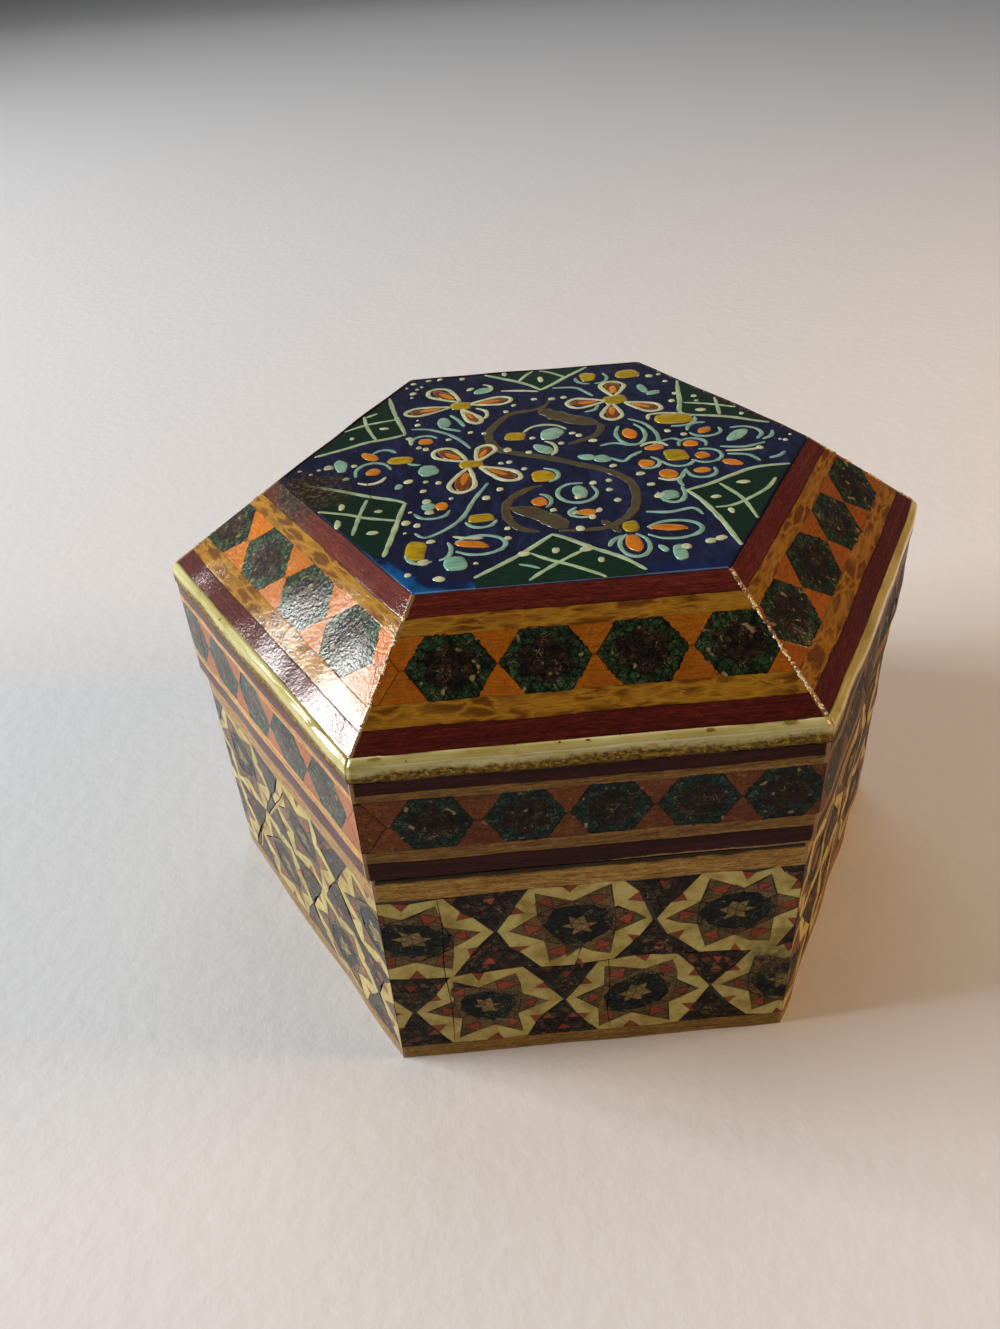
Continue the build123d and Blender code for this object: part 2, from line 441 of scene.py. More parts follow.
class Shader:
    """A node material with short calls that add a node and give its output."""

    def __init__(self, name):
        self.material = bpy.data.materials.new(name)
        self.material.use_nodes = True
        self.tree = self.material.node_tree
        self.surface = self.tree.nodes["Principled BSDF"]
        self.tint = self.add("Attribute", "Color", attribute_name="tint")
        self.tint_alpha = self.add("Attribute", "Alpha", attribute_name="tint")
        self.grain = self.add("Attribute", "Vector", attribute_name="grain")
        self.place = self.scaled(self.add("TexCoord", "Object"), [1 / MM] * 3)

    def feed(self, node, values):
        for key, value in values.items():
            if isinstance(value, bpy.types.NodeSocket):
                self.tree.links.new(value, node.inputs[key])
            else:
                node.inputs[key].default_value = value

    def add(self, kind, output, values=None, **settings):
        node = self.tree.nodes.new("ShaderNode" + kind)
        for key, value in settings.items():
            setattr(node, key, value)
        self.feed(node, values or {})
        return node.outputs[output]

    def finish(self, values):
        self.feed(self.surface, values)
        return self.material

    def math(self, operation, *values):
        return self.add("Math", 0, dict(enumerate(values)), operation=operation)

    def plus(self, value, other, share=1):
        """A value plus a share of another."""
        return self.math("MULTIPLY_ADD", other, share, value)

    def vectors(self, operation, *values, output="Value"):
        return self.add("VectorMath", output, dict(enumerate(values)), operation=operation)

    def towards(self, vector, side):
        """How far a vector reaches the way a side faces."""
        return self.vectors("DOT_PRODUCT", vector, (*OUTWARD[side], 0))

    def scaled(self, vector, scale, turn=0):
        values = {"Vector": vector, "Rotation": (0, 0, turn), "Scale": (*scale, 1)[:3]}
        return self.add("Mapping", "Vector", values)

    def noise(self, scale, detail=3, rough=0.55, distortion=0, at=None, output=0):
        values = {"Scale": scale, "Detail": detail, "Roughness": rough, "Distortion": distortion}
        return self.add("TexNoise", output, {"Vector": at or self.place, **values})

    def drawn(self, scale, detail=3, rough=0.55, distortion=0, turn=0, at=None):
        """Noise drawn out along the grain, with its own scale each way."""
        return self.noise(1, detail, rough, distortion, self.scaled(at or self.grain, scale, turn))

    def cells(self, vector, scale, randomness=1):
        values = {"Vector": vector, "Scale": scale, "Randomness": randomness}
        return self.add("TexVoronoi", "Distance", values, feature="DISTANCE_TO_EDGE")

    def gradient(self, factor, stops):
        node = self.tree.nodes.new("ShaderNodeValToRGB")
        self.feed(node, {"Fac": factor})
        elements = node.color_ramp.elements
        while len(elements) < len(stops):
            elements.new(0.5)
        for element, (place, colour) in zip(elements, stops):
            element.position, element.color = place, colour
        return node.outputs["Color"]

    def ramp(self, factor, *stops):
        """A ramp of screen colours. A stop is a place, then red, green and blue."""
        return self.gradient(factor, [(place, srgb(*colour)) for place, *colour in stops])

    def levels(self, factor, *stops):
        """A ramp of plain values. A stop is a place, then one value or three."""
        return self.gradient(factor, [(place, (*(values * 3)[:3], 1)) for place, *values in stops])

    def layered(self, colour, *layers):
        """The colour, darkened or lightened by ramps. A layer is a factor and its stops."""
        for factor, *stops in layers:
            colour = self.mix(1, colour, self.levels(factor, *stops), "MULTIPLY")
        return colour

    def level(self, factor, low, high, start=0, end=1):
        """Factor from start to end, spread to low to high."""
        values = {"Value": factor, "From Min": start, "From Max": end, "To Min": low, "To Max": high}
        return self.add("MapRange", "Result", values)

    def mix(self, factor, first, second, blend="MIX"):
        return self.add("Mix", 2, {0: factor, 6: first, 7: second}, data_type="RGBA", blend_type=blend)

    def cover(self, colour, other, value, full, none, most=1):
        """The colour under another that lies thickest where value is `full` and ends at `none`."""
        return self.mix(self.level(value, most, 0, full, none), colour, other)

    def bump(self, height, depth_mm, **below):
        values = {"Height": height, "Strength": 1, "Distance": depth_mm * MM, **below}
        return self.add("Bump", "Normal", values)

    def rubbed(self, colour, spot, inner, outer):
        """The colour, with brown dirt rubbed over it round a spot."""
        away = self.plus(self.vectors("DISTANCE", self.place, spot), self.noise(0.5, 4, 0.7), 9)
        dust = self.noise(1.6, 5, 0.75)
        dust = self.ramp(dust, (0.38, 24, 17, 11), (0.52, 60, 46, 30), (0.66, 126, 108, 78))
        return self.cover(colour, dust, away, inner, outer, 0.92)

    def weathered(self, colour, inner, outer):
        """The colour in the mesh's shade, with the painted light and shade it carries, rubbed bare where the
        mesh marks wear, which on the lid's rim is also a painted highlight, and dirty in one corner.
        """
        wear = self.math("SUBTRACT", self.noise(0.9, 4, 0.7), self.tint_alpha)
        colour = self.cover(self.mix(1, colour, self.tint, "MULTIPLY"), BARE_WOOD, wear, 0.1, -0.2, 0.8)
        return self.rubbed(colour, PANEL_DIRT, inner, outer)

    def lacquer(self, colour, relief, relief_mm=0.02, rough=0.5, coat=1, pits_mm=0.022, gloss=0.09):
        """Colour under a thick gloss lacquer whose surface dips and swells a little."""
        if coat < GLOSSY_COAT:
            facing = self.towards(self.add("NewGeometry", "True Normal"), FRONT_LEFT)
            coat = self.level(facing, coat, GLOSSY_COAT, 0.8, 0.9)
        swell = self.bump(self.noise(0.16, 2), 0.08)
        ripple = self.bump(self.noise(0.9, 2), 0.012, Normal=swell)
        return self.finish({
            "Base Color": colour,
            "Roughness": rough,
            "Specular IOR Level": 0.03,
            "Normal": self.bump(relief, relief_mm),
            "Coat Weight": coat,
            "Coat Roughness": gloss,
            "Coat IOR": 1.5,
            "Coat Normal": self.bump(self.noise(2.4, 3, 0.6), pits_mm, Normal=ripple),
        })


def mosaic_material(name, coat, chipped=0.85):
    """Small tiles of wood and bone, each in its own tint, under old lacquer."""
    shader = Shader(name)
    noise, multiply = shader.noise, partial(shader.math, "MULTIPLY")
    dark = shader.level(shader.add("SeparateColor", "Red", {"Color": shader.tint}), 1, 0.22, 0.06, 0.2)
    streaks, mottle = shader.drawn((0.9, 4.5), 4, turn=0.5), noise(1.7, 4, 0.7)
    bend = noise(1.6, 2, 0.5, output="Color")
    bent = shader.vectors("MULTIPLY_ADD", bend, (0.7, 0.7, 0.7), shader.place, output="Vector")
    wood = shader.layered(shader.tint, (streaks, (0.3, 0.72), (0.68, 1.25)))
    rough = shader.layered(
        wood,
        (mottle, (0.32, 0.24, 0.22, 0.20), (0.5, 0.95), (0.68, 1.6, 1.5, 1.3)),
        (noise(0.6, 3, 0.6), (0.36, 0.50, 0.46, 0.42), (0.5, 1)),
        (shader.cells(bent, 1.15), (0.02, 0.16), (0.11, 1)),
    )
    wood = shader.mix(dark, wood, rough)
    hair = shader.math("ABSOLUTE", shader.math("SUBTRACT", noise(0.8, 2, 0.5, 1.6), 0.5))
    hair = multiply(shader.level(hair, 1, 0, 0.003, 0.014), shader.level(noise(0.6, 2), 0, 0.7, 0.53, 0.64))
    wood = shader.mix(multiply(hair, dark), wood, srgb(168, 156, 120))
    chips = shader.level(noise(0.85, 1, 0.5), 0, chipped, 0.68, 0.73)
    wood = shader.mix(multiply(chips, dark), wood, srgb(158, 134, 94))
    waxy = shader.layered(
        shader.tint,
        (noise(0.55, 3, 0.6), (0.3, 0.80, 0.76, 0.62), (0.6, 1.05, 1.04, 1)),
        (streaks, (0.28, 0.88, 0.85, 0.78), (0.5, 1)),
        (noise(0.3, 4, 0.65), (0.34, 0.66, 0.60, 0.44), (0.52, 1)),
    )
    colour = shader.mix(shader.math("SUBTRACT", 1, shader.tint_alpha), wood, waxy)
    colour = shader.layered(colour, (noise(0.12, 2), (0.3, 0.80, 0.74, 0.62), (0.65, 1)))
    colour = shader.rubbed(colour, BODY_DIRT, 5, 9)
    return shader.lacquer(colour, mottle, 0.05, coat=coat, pits_mm=0.040, gloss=0.06)


def glue_material(name):
    shader = Shader(name)
    dust = shader.noise(3)
    return shader.lacquer(shader.ramp(dust, (0.3, 22, 17, 14), (0.75, 46, 35, 26)), dust, 0.01, coat=0.5)


def gap_material(name):
    """A flat dark with no shine, for the veneer's joints, and for open cracks as the painted shade inside
    them.
    """
    return Shader(name).finish({"Base Color": srgb(12, 8, 5), "Roughness": 1, "Specular IOR Level": 0})


def streaked_wood(name, dark, middle, light, fine=(0.35, 9), coat=1, wave=0.4, spread=0.16):
    """Straight-grained wood under lacquer, with the grain along the strip."""
    shader = Shader(name)
    narrow = shader.drawn(fine, 4, 0.65, wave)
    mixed = shader.plus(shader.math("MULTIPLY", narrow, 0.6), shader.drawn((0.05, 1.3), 3, 0.5, wave), 0.4)
    colour = shader.layered(
        shader.ramp(mixed, (0.5 - spread, *dark), (0.5, *middle), (0.5 + spread, *light)),
        (shader.drawn((0.9, 18), 2), (0.30, 0.5, 0.45, 0.45), (0.46, 1)),
        (shader.drawn((1.6, 4.5), 4, 0.7), (0.3, 0.58), (0.5, 1), (0.7, 1.5)),
    )
    return shader.lacquer(shader.weathered(colour, 7.5, 11.5), narrow, 0.025, coat=coat)


def patched_wood(name, scale, net, dark, light):
    """Blond wood figured with brown lens-shaped patches in a thin, soft, paler net."""
    shader = Shader(name)
    bend = shader.levels(shader.drawn((0.3, 0.9)), (0.25, 0), (0.75, 3, 0.7, 0))
    bent = shader.vectors("ADD", shader.grain, bend, output="Vector")
    cells = shader.cells(shader.scaled(bent, scale, 0.14), 1, 0.8)
    plain = shader.level(shader.drawn((0.14, 0.5), 2), 0.25, 1, 0.34, 0.50)
    patch = shader.math("MULTIPLY", shader.level(cells, 0, 1, 0, 1.3 * net), plain)
    fibre = shader.drawn((0.7, 7), 4, 0.65)
    colour = shader.mix(patch, srgb(*light), srgb(*dark))
    colour = shader.layered(colour, (fibre, (0.3, 0.62, 0.56, 0.45), (0.5, 1), (0.7, 1.3)))
    return shader.lacquer(shader.weathered(colour, 5.5, 9.5), fibre, 0.025, pits_mm=0.026, gloss=0.06)


def bone_material(name):
    """Old bone, smooth and yellowed, with dull grime packed along its lower edge."""
    shader = Shader(name)
    drawn, cover = shader.drawn, shader.cover
    shades = (0.32, 172, 155, 80), (0.5, 191, 179, 112), (0.68, 205, 196, 134)
    colour = shader.ramp(drawn((0.10, 0.5)), *shades)
    colour = cover(colour, srgb(168, 132, 30), drawn((0.34, 0.8), 1), 0.72, 0.62, 0.7)
    fibres = drawn((0.15, 7))
    colour = shader.layered(colour, (fibres, (0.3, 0.88, 0.85, 0.76), (0.5, 1)))
    colour = cover(colour, srgb(96, 62, 20), drawn((1.1, 1.4), 0), 0.83, 0.80, 0.85)
    height = shader.add("SeparateXYZ", "Y", {"Vector": shader.grain})
    ragged = drawn((0.9, 1.3), 5, 0.72)
    edge = shader.plus(shader.plus(height, ragged, 1.7), drawn((0.10, 0.1), 1), 1.8)
    shades = (0.38, 46, 28, 4), (0.50, 112, 80, 10), (0.62, 170, 146, 56)
    dirt = shader.ramp(drawn((1.5, 2.3), 5, 0.8), *shades)
    colour = cover(colour, dirt, edge, 2.90, 3.60)
    colour = cover(colour, srgb(48, 30, 12), shader.plus(height, ragged, 0.7), 0.5, 0.9, 0.9)
    shader.lacquer(colour, fibres, 0.012, rough=0.4, pits_mm=0.010, gloss=0.12)
    return shader.finish({"Coat Weight": shader.level(edge, 0.15, 0.96, 2.75, 3.45)})


def plain_wood(name, dark, light, turn=0, rough=0.6):
    """Bare or lightly sealed wood, for what shows inside and underneath."""
    shader = Shader(name)
    drawn = partial(shader.drawn, at=shader.scaled(shader.place, (1, 1), turn))
    fibre = drawn((0.10, 3.2, 3.2), 5, 0.65)
    mixed = shader.plus(shader.math("MULTIPLY", fibre, 0.4), drawn((0.012, 0.30, 0.30), 3, 0.5, 0.6), 0.6)
    pores = (drawn((0.5, 9, 9), 2), (0.32, 0.6, 0.52, 0.45), (0.44, 1))
    return shader.finish({
        "Base Color": shader.layered(shader.ramp(mixed, (0.34, *dark), (0.66, *light)), pores),
        "Roughness": shader.level(fibre, rough - 0.08, rough + 0.12),
        "Normal": shader.bump(fibre, 0.06),
    })


def velvet_material(name):
    shader = Shader(name)
    pile = shader.noise(9, 2)
    colour = shader.ramp(shader.noise(0.09, 3, 0.6, 1.2), (0.35, 72, 12, 22), (0.65, 112, 22, 34))
    return shader.finish({
        "Base Color": shader.mix(0.6, colour, shader.levels(pile, (0.3, 0.4), (0.7, 1.3)), "MULTIPLY"),
        "Roughness": 0.95,
        "Sheen Weight": 0.6,
        "Sheen Roughness": 0.35,
        "Sheen Tint": srgb(230, 130, 140),
        "Normal": shader.bump(pile, 0.15),
    })


def painted_ground(name):
    """Dark blue paint, with a brighter blue band along the front and front left rims that is widest near the
    front left corner.
    """
    shader = Shader(name)
    strokes = shader.drawn((0.5, 0.2), 4, 0.6, 0.8, 0.5, shader.place)
    colour = shader.ramp(strokes, (0.3, 12, 16, 38), (0.55, 25, 31, 64), (0.75, 42, 49, 90))
    reach = shader.math("MAXIMUM", *(shader.towards(shader.place, side) for side in PALE_RIM_SIDES))
    rim = shader.math("SUBTRACT", panel_edge, reach)
    ragged = shader.plus(rim, shader.noise(0.22, 4, 0.6), 6)
    colour = shader.cover(colour, srgb(4, 32, 84), ragged, 3, 6, 0.9)
    away = shader.vectors("DISTANCE", shader.place, PALE_RIM_CORNER)
    pale_rim = shader.plus(shader.plus(rim, shader.noise(0.20, 4, 0.65), 8), shader.level(away, 0, 2, 7, 26))
    colour = shader.cover(colour, srgb(16, 96, 160), pale_rim, 3.9, 5.4, 0.9)
    return shader.lacquer(shader.rubbed(colour, PANEL_DIRT, 7, 11.5), strokes, pits_mm=0.004)


def enamel_material(name):
    """Brushed-on paint in the tint of each stroke."""
    shader = Shader(name)
    drag = shader.drawn((0.5, 4), 4, 0.6)
    clouds = (shader.noise(0.9), (0.3, 0.78, 0.82, 0.80), (0.6, 1))
    colour = shader.layered(shader.tint, (drag, (0.28, 0.62), (0.62, 1.15)), clouds)
    return shader.lacquer(shader.rubbed(colour, PANEL_DIRT, 7, 11.5), drag, pits_mm=0.004)


def gilt_and_glint_material(name):
    """Gold dust in old lacquer, rubbed bright on the ridges, with the palest flecks as painted glints."""
    shader = Shader(name)
    dust = shader.noise(5)
    return shader.finish({
        "Base Color": shader.layered(shader.tint, (dust, (0.3, 0.6), (0.65, 1))),
        "Roughness": shader.level(dust, 0.12, 0.35),
        "Coat Weight": 1,
        "Normal": shader.bump(dust, 0.03),
    })


RED_GRAIN = {"fine": (0.5, 5), "wave": 0.2}
glue = glue_material("glue_line")
gap_dark = gap_material("gap_dark")
bevel_tiles = mosaic_material("bevel_tiles", 1)
side_tiles = mosaic_material("side_tiles", 0.16)
body_tiles = mosaic_material("body_tiles", 0.18, 0.3)
upper_red = streaked_wood("upper_red_wood", (62, 14, 6), (92, 31, 20), (120, 52, 36), **RED_GRAIN)
lower_red = streaked_wood("lower_red_wood", (50, 9, 4), (77, 21, 12), (104, 38, 26), **RED_GRAIN)
plum_wood = streaked_wood("plum_wood", (30, 9, 7), (50, 19, 14), (76, 36, 28), coat=0.12, wave=0.2)
upper_blond = patched_wood("upper_blond_wood", (0.24, 1), 0.15, (104, 60, 6), (162, 115, 29))
lower_blond = patched_wood("lower_blond_wood", (0.26, 0.62), 0.13, (102, 60, 6), (162, 115, 27))
side_blond = streaked_wood(
    "side_blond_wood", (84, 58, 24), (124, 88, 42), (156, 118, 64), (0.4, 3), 0.16, spread=0.14
)
rim_blond = streaked_wood(
    "rim_blond_wood", (108, 72, 26), (156, 114, 50), (190, 150, 82), (0.22, 1.3), 0.18, 3, 0.13
)
bone = bone_material("old_bone")
blue_paint = painted_ground("blue_paint")
enamel = enamel_material("enamel_strokes")
gilt_and_glints = gilt_and_glint_material("gilt_and_painted_glints")
velvet = velvet_material("red_velvet")


def dress(nodes, material):
    for node in nodes:
        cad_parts[node].material_slots[0].material = material


def dress_cad_boards():
    """Wood for the boards inside and underneath, with the grain along each, and glue behind the tiles."""
    for side, angle in zip(SIDES, SIDE_ANGLES):
        turn = math.radians(90) - angle
        carcass = plain_wood(f"board_{side}", (128, 88, 52), (176, 132, 84), turn)
        lip = plain_wood(f"lip_{side}", (108, 66, 36), (156, 104, 60), turn, 0.45)
        dress([f"{stem}_{side}" for stem in ("wall_board", "lid_side_board", "lid_bevel_board")], carcass)
        dress([f"liner_board_{side}"], lip)
        dress([f"body_khatam_panel_{side}"], glue)
    dress(("base_board", "lid_top_board"), plain_wood("board_level", (120, 82, 48), (170, 126, 80)))
    dress(("bevel_khatam_bands", "lid_side_khatam_bands"), glue)


# Strips of plain wood

def bevel_strips():
    for stem, material in (
        ("upper_red", upper_red), ("upper_blond", upper_blond),
        ("lower_blond", lower_blond), ("lower_red", lower_red),
    ):
        node = f"bevel_{stem}_strips"
        strips(node, material, "lid", bevel_fields(*bevel_span(node)))


def side_strips():
    for stem, material, body, face, fade, rim in (
        ("lid_side_upper_plum", plum_wood, "lid", lid_face, SIDE_PAINTED_LIGHT, None),
        ("lid_side_upper_blond", side_blond, "lid", lid_face, SIDE_PAINTED_LIGHT, None),
        ("lid_side_lower_blond", side_blond, "lid", lid_face, SIDE_PAINTED_LIGHT, None),
        ("lid_side_lower_plum", plum_wood, "lid", lid_face, SIDE_PAINTED_LIGHT, "lid"),
        ("body_top", rim_blond, "box", body_face, 1, "body"),
        ("body_base", rim_blond, "box", body_face, 1, "foot"),
    ):
        node = f"{stem}_strips"
        low, high = box_mm(node)
        strips(node, material, body, side_fields(face, low.z, high.z, fade), rim)


# Bone edging

BONE_RADIUS = 1.1
BONE_STEPS = 6
# Points of the edging's face near its foot: how far out, and how far up
BONE_FACE = ((0, 0.1), (0.02, 0.45), (0.02, 0.9), (0, 1.4))
BONE_LIFT = 0.06
BONE_BULGE = 0.05
BONE_FOOT_WAVER = 0.20
# How far the hidden back of the bone lies inside: under the bevel, above the foot, behind the face
BONE_INSETS = (0.7, 0.4, 0.3)


def bone_edgings():
    """The bone round the fold: over the bevel's foot, round the corner and down the side."""
    low, high = box_mm("bone_edging_back")
    face, foot = high.y, low.z
    start = bevel_place(bevel_span("bone_edging_back")[0])
    fold = bevel_place((face - panel_edge) / bevel_slope.x)
    turn = math.pi / 2 - math.atan2(-bevel_slope.y, bevel_slope.x)
    centre = Vector((face - BONE_RADIUS, fold.y - BONE_RADIUS * math.tan(turn / 2)))
    angles = [step / BONE_STEPS * turn for step in range(BONE_STEPS + 1)]
    arc = [centre + Vector((math.cos(angle), math.sin(angle))) * BONE_RADIUS for angle in angles]
    slope_top = start + Vector((-bevel_slope.y, bevel_slope.x)) * BONE_LIFT
    inner = lid_face - STRIP_THICKNESS
    inner_top = bevel_place((inner - panel_edge) / bevel_slope.x).y - STRIP_THICKNESS
    under, above, behind = BONE_INSETS
    back = [(start.x - under, inner_top), (inner, foot + above), (face - behind, foot)]
    back = [Vector(place) for place in back]

    for field, name in zip(side_fields(lid_face, foot, high.z), SIDES):
        def section(u, side=field.side):
            outer = [Vector((face + out, foot + up)) for out, up in BONE_FACE] + arc + [slope_top]
            outer[0].y += BONE_FOOT_WAVER * lump(u * 0.8, side * 5.1, 3.3)
            for index, place in enumerate(outer):
                bulge = BONE_BULGE * lump(u * 0.25, index * 0.3, side * 9)
                outer[index] = place + Vector((bulge, bulge * 0.5))
            return [(place.y - foot, place.x - lid_face, 1, 0) for place in back + outer]

        shape = Shape()
        side_bar(shape, field, section, field.side * 13)
        shape.build(f"bone_edging_{name}_finish", bone, "lid", "bone", f"bone_edging_{name}", smooth=True)


# Mosaic

# A tint with this alpha is bone to the mosaic's material, not wood
BONE_ALPHA = 0
ORANGE = srgb(164, 92, 10)
TERRACOTTA = srgb(110, 60, 27)
MEDALLION_GREEN = srgb(44, 66, 40)
SIDE_GREEN = srgb(32, 54, 46)
MEDALLION_BROWN = srgb(47, 35, 23)
TOOTH_DARK = srgb(20, 22, 14)
BONE_TILE = srgb(194, 177, 110, BONE_ALPHA)
STAR_RED = srgb(146, 68, 42)
STAR_BROWN = srgb(108, 84, 50)
RING_DARK = srgb(29, 36, 32)
STAR_TAN = srgb(140, 118, 72)
FIELD_DARK = srgb(60, 45, 32)
FIELD_SPECK = srgb(112, 64, 42)

# The pitch of the figures on each side from the front round, and how far the first is off the middle
UPPER_STARS = ((19.6, -1.9), (19.2, 3), (19.8, -7), (19.4, 5.5), (19.7, 1), (19.4, 3.3))
LOWER_STARS = ((18.6, 5.6), (19, -6), (18.8, 2), (19.3, -3), (18.9, 8), (18.2, -7))
BEVEL_MEDALLIONS = ((10.2, -3.4), (10.5, -5.2), (10.6, 4), (10.4, -1), (11, 0.5), (11, 2.5))
SIDE_MEDALLIONS = ((9.5, 2.2), (10.1, 0.5), (9.8, -3), (9.6, 4), (10, 1), (9.9, -2))

# Distances in a star as shares of its radius: dark ring, brown bays, inner tips of the bone, notches
STAR_SHARES = (0.415, 0.53, 0.86, 0.70)
RED_HALF = 0.095
STAR_FILL = 0.97
CROSSING_GAP = 0.25
DARK_ROWS = 6
# Row and place of the red tile in a triangle of the dark ground
DARK_HEART = (4, 4)
SPECK_CHANCE = 0.07
MEDALLION_ROWS = 4


class Mosaic:
    """Tiles laid on one field. `warp` is how far the pattern as a whole strays."""

    def __init__(self, shape, field, chance, warp=0):
        self.shape, self.field, self.chance, self.warp = shape, field, chance, warp

    def stray(self, point):
        """A corner moved off its true place, the same way for all tiles that meet there."""
        u, v = point

        def shift(scale, row):
            return lump(u * scale, v * scale, self.field.side * 5 + row)

        fine = TILE_STRAY * (1 + self.warp)
        return (u + fine * shift(0.9, 0) + self.warp * shift(0.13, 80),
                v + fine * shift(0.9, 40) + 0.6 * self.warp * shift(0.13, 120))

    def lay(self, polygon, tint, spread=0.12, glue=TILE_GLUE, joint=JOINT_TINT, rise=0):
        """One flat tile, cut to the field's outline, that darkens towards the glue line round it."""
        field, chance = self.field, self.chance
        polygon = anticlockwise([self.stray(point) for point in polygon])
        polygon = within(polygon, field.trapezoid())
        top = within(polygon, polygon, glue)
        if len(top) < 3 or area(top) < SMALLEST_TILE:
            return
        # The field's painted light makes the front left side's tiles lighter
        colour = varied(toned(tint, field.fade), chance, spread)
        dim = toned(colour, joint)
        level = TILE_LIFT + rise + chance.uniform(-TILE_LEVEL_SPREAD, TILE_LEVEL_SPREAD)
        seed = chance.uniform(0, 100)
        middle = [sum(values) / len(top) for values in zip(*top)]
        inner = []
        for point in top:
            reach = math.dist(point, middle)
            inner.append(between(point, middle, min(0.5, 2 * JOINT_SOFTNESS / reach) if reach else 0.5))
        self.shape.loft([
            [(field.point(u, v, height), shade, (u, v, seed)) for u, v in outline]
            for outline, height, shade in (
                (top, level - TILE_DEPTH, dim), (top, level, dim), (inner, level, colour))
        ])

    def teeth(self, outline, count, reach):
        """Small dark teeth, with gaps, along the outside of a closed anticlockwise outline."""
        chance = self.chance
        for here, there in around(outline):
            length = math.dist(here, there)
            out = ((there[1] - here[1]) / length, (here[0] - there[0]) / length)
            for tooth in range(count):
                if chance.random() < TOOTH_GAPS:
                    continue
                start, end = (between(here, there, (tooth + part) / count) for part in (0, 1))
                u, v = between(start, end, chance.uniform(0.2, 0.8))
                high = reach * chance.uniform(0.4, 1.3)
                tip = (u + out[0] * high, v + out[1] * high)
                self.lay([start, tip, end], TOOTH_DARK, 0.3, 0, 1, TOOTH_RISE)


def places_along(field, pitch, phase):
    """The middles of a row of figures, a little past both ends of the field."""
    first = math.floor((-field.half_length(0) - phase) / pitch) - 1
    last = math.ceil((field.half_length(0) - phase) / pitch) + 1
    return [phase + index * pitch for index in range(first, last + 1)]


def medallion(tiles, centre, outline, rim_tint):
    """A six-sided medallion of small triangles: a coloured rim round a dark star."""
    for here, there in around(outline):
        for row, place, triangle in small_triangles(centre, here, there, MEDALLION_ROWS):
            heart = row < 2 or row == 2 and 0 < place < 4
            joint = 0.35 if row == 3 and place % 2 == 0 else 0.85
            tiles.lay(triangle, MEDALLION_BROWN if heart else rim_tint, 0.40, 0.006, joint)
    tiles.teeth(outline, 6, 0.20)


def medallion_band(name, fields, figures, material, ground, rim_tint, seed):
    """Medallions in a row on each side, with a triangle of the ground above and below each gap."""
    chance = random.Random(seed)
    shape = Shape()
    for field, (pitch, phase) in zip(fields, figures):
        tiles = Mosaic(shape, field, chance)
        low, high = TILE_UNDERLAP, field.width - TILE_UNDERLAP
        middle = (low + high) / 2
        spots = [
            (place + chance.uniform(-0.25, 0.25), pitch * chance.uniform(0.465, 0.485))
            for place in places_along(field, pitch, phase)
        ]
        for place, size in spots:
            outline = hexagon((place, middle), size, (high - low) / 2 / (size * ROW_SHARE))
            if abs(place) < field.half_length(middle) - 0.1 * size:
                medallion(tiles, (place, middle), outline, rim_tint)
            else:
                tiles.lay(outline, ground)
        for (here, size), (there, next_size) in zip(spots, spots[1:]):
            left, right = here + size / 2, there - next_size / 2
            for edge, beyond in ((high, field.width), (low, 0)):
                tiles.lay([(here + size, middle), (left, edge), (left, beyond), (right, beyond),
                           (right, edge), (there - next_size, middle)], ground, 0.10)
    shape.build(name, material, "lid", "khatam_mosaic")


def star_cell(tiles, centre, radius, squash):
    """A six-pointed star of bone with red and brown triangles round a dark ring."""
    ring, bay, tip, notch = (share * radius for share in STAR_SHARES)

    def at(reach, degrees):
        return polar(centre, reach, degrees, squash)

    rims = []
    for angle in range(0, 360, 60):
        corner, inner_tip = at(radius, angle), at(tip, angle)
        for turn in (-1, 1):
            base = between(corner, at(radius, angle + 60 * turn), 0.5 - RED_HALF)
            half = angle + 30 * turn
            tiles.lay([corner, base, at(notch, half), at(bay, half), inner_tip], BONE_TILE, 0.07, 0, 0.86)
        after = at(radius, angle + 60)
        low, high = between(corner, after, 0.5 - RED_HALF), between(corner, after, 0.5 + RED_HALF)
        tiles.lay([low, high, at(notch, angle + 30)], STAR_RED, 0.14)
        left, right = at(ring, angle - 30), at(ring, angle + 30)
        bay_left, bay_right = at(bay, angle - 30), at(bay, angle + 30)
        tiles.lay([left, bay_left, bay_right, right], STAR_BROWN, 0.25)
        for row, place, triangle in small_triangles(inner_tip, bay_left, bay_right, 2):
            tiles.lay(triangle, STAR_RED if (row, place) == (1, 1) else STAR_BROWN, 0.25)
        for row, place, triangle in small_triangles(centre, left, right, 3):
            star = row == 0 or (row, place) == (1, 1)
            tiles.lay(triangle, STAR_TAN if star else RING_DARK, 0.25)
        cap = at(ring * 1.06, angle)
        tiles.lay([left, cap, right], RING_DARK, 0.25, 0, 0.9, TOOTH_RISE)
        rims += [left, cap]
    tiles.teeth(rims, 3, 0.24)


def dark_triangle(tiles, corners):
    """The dark ground between stars: small triangles with a red heart."""
    for row, place, triangle in small_triangles(*corners, DARK_ROWS):
        rim = row == DARK_ROWS - 1 or place in (0, 2 * row)
        tint = toned(FIELD_DARK, 0.7 if rim else 1)
        if (row, place) == DARK_HEART:
            tint = STAR_RED
        elif tiles.chance.random() < SPECK_CHANCE:
            tint = FIELD_SPECK
        tiles.lay(triangle, tint, 0.55, 0.015)


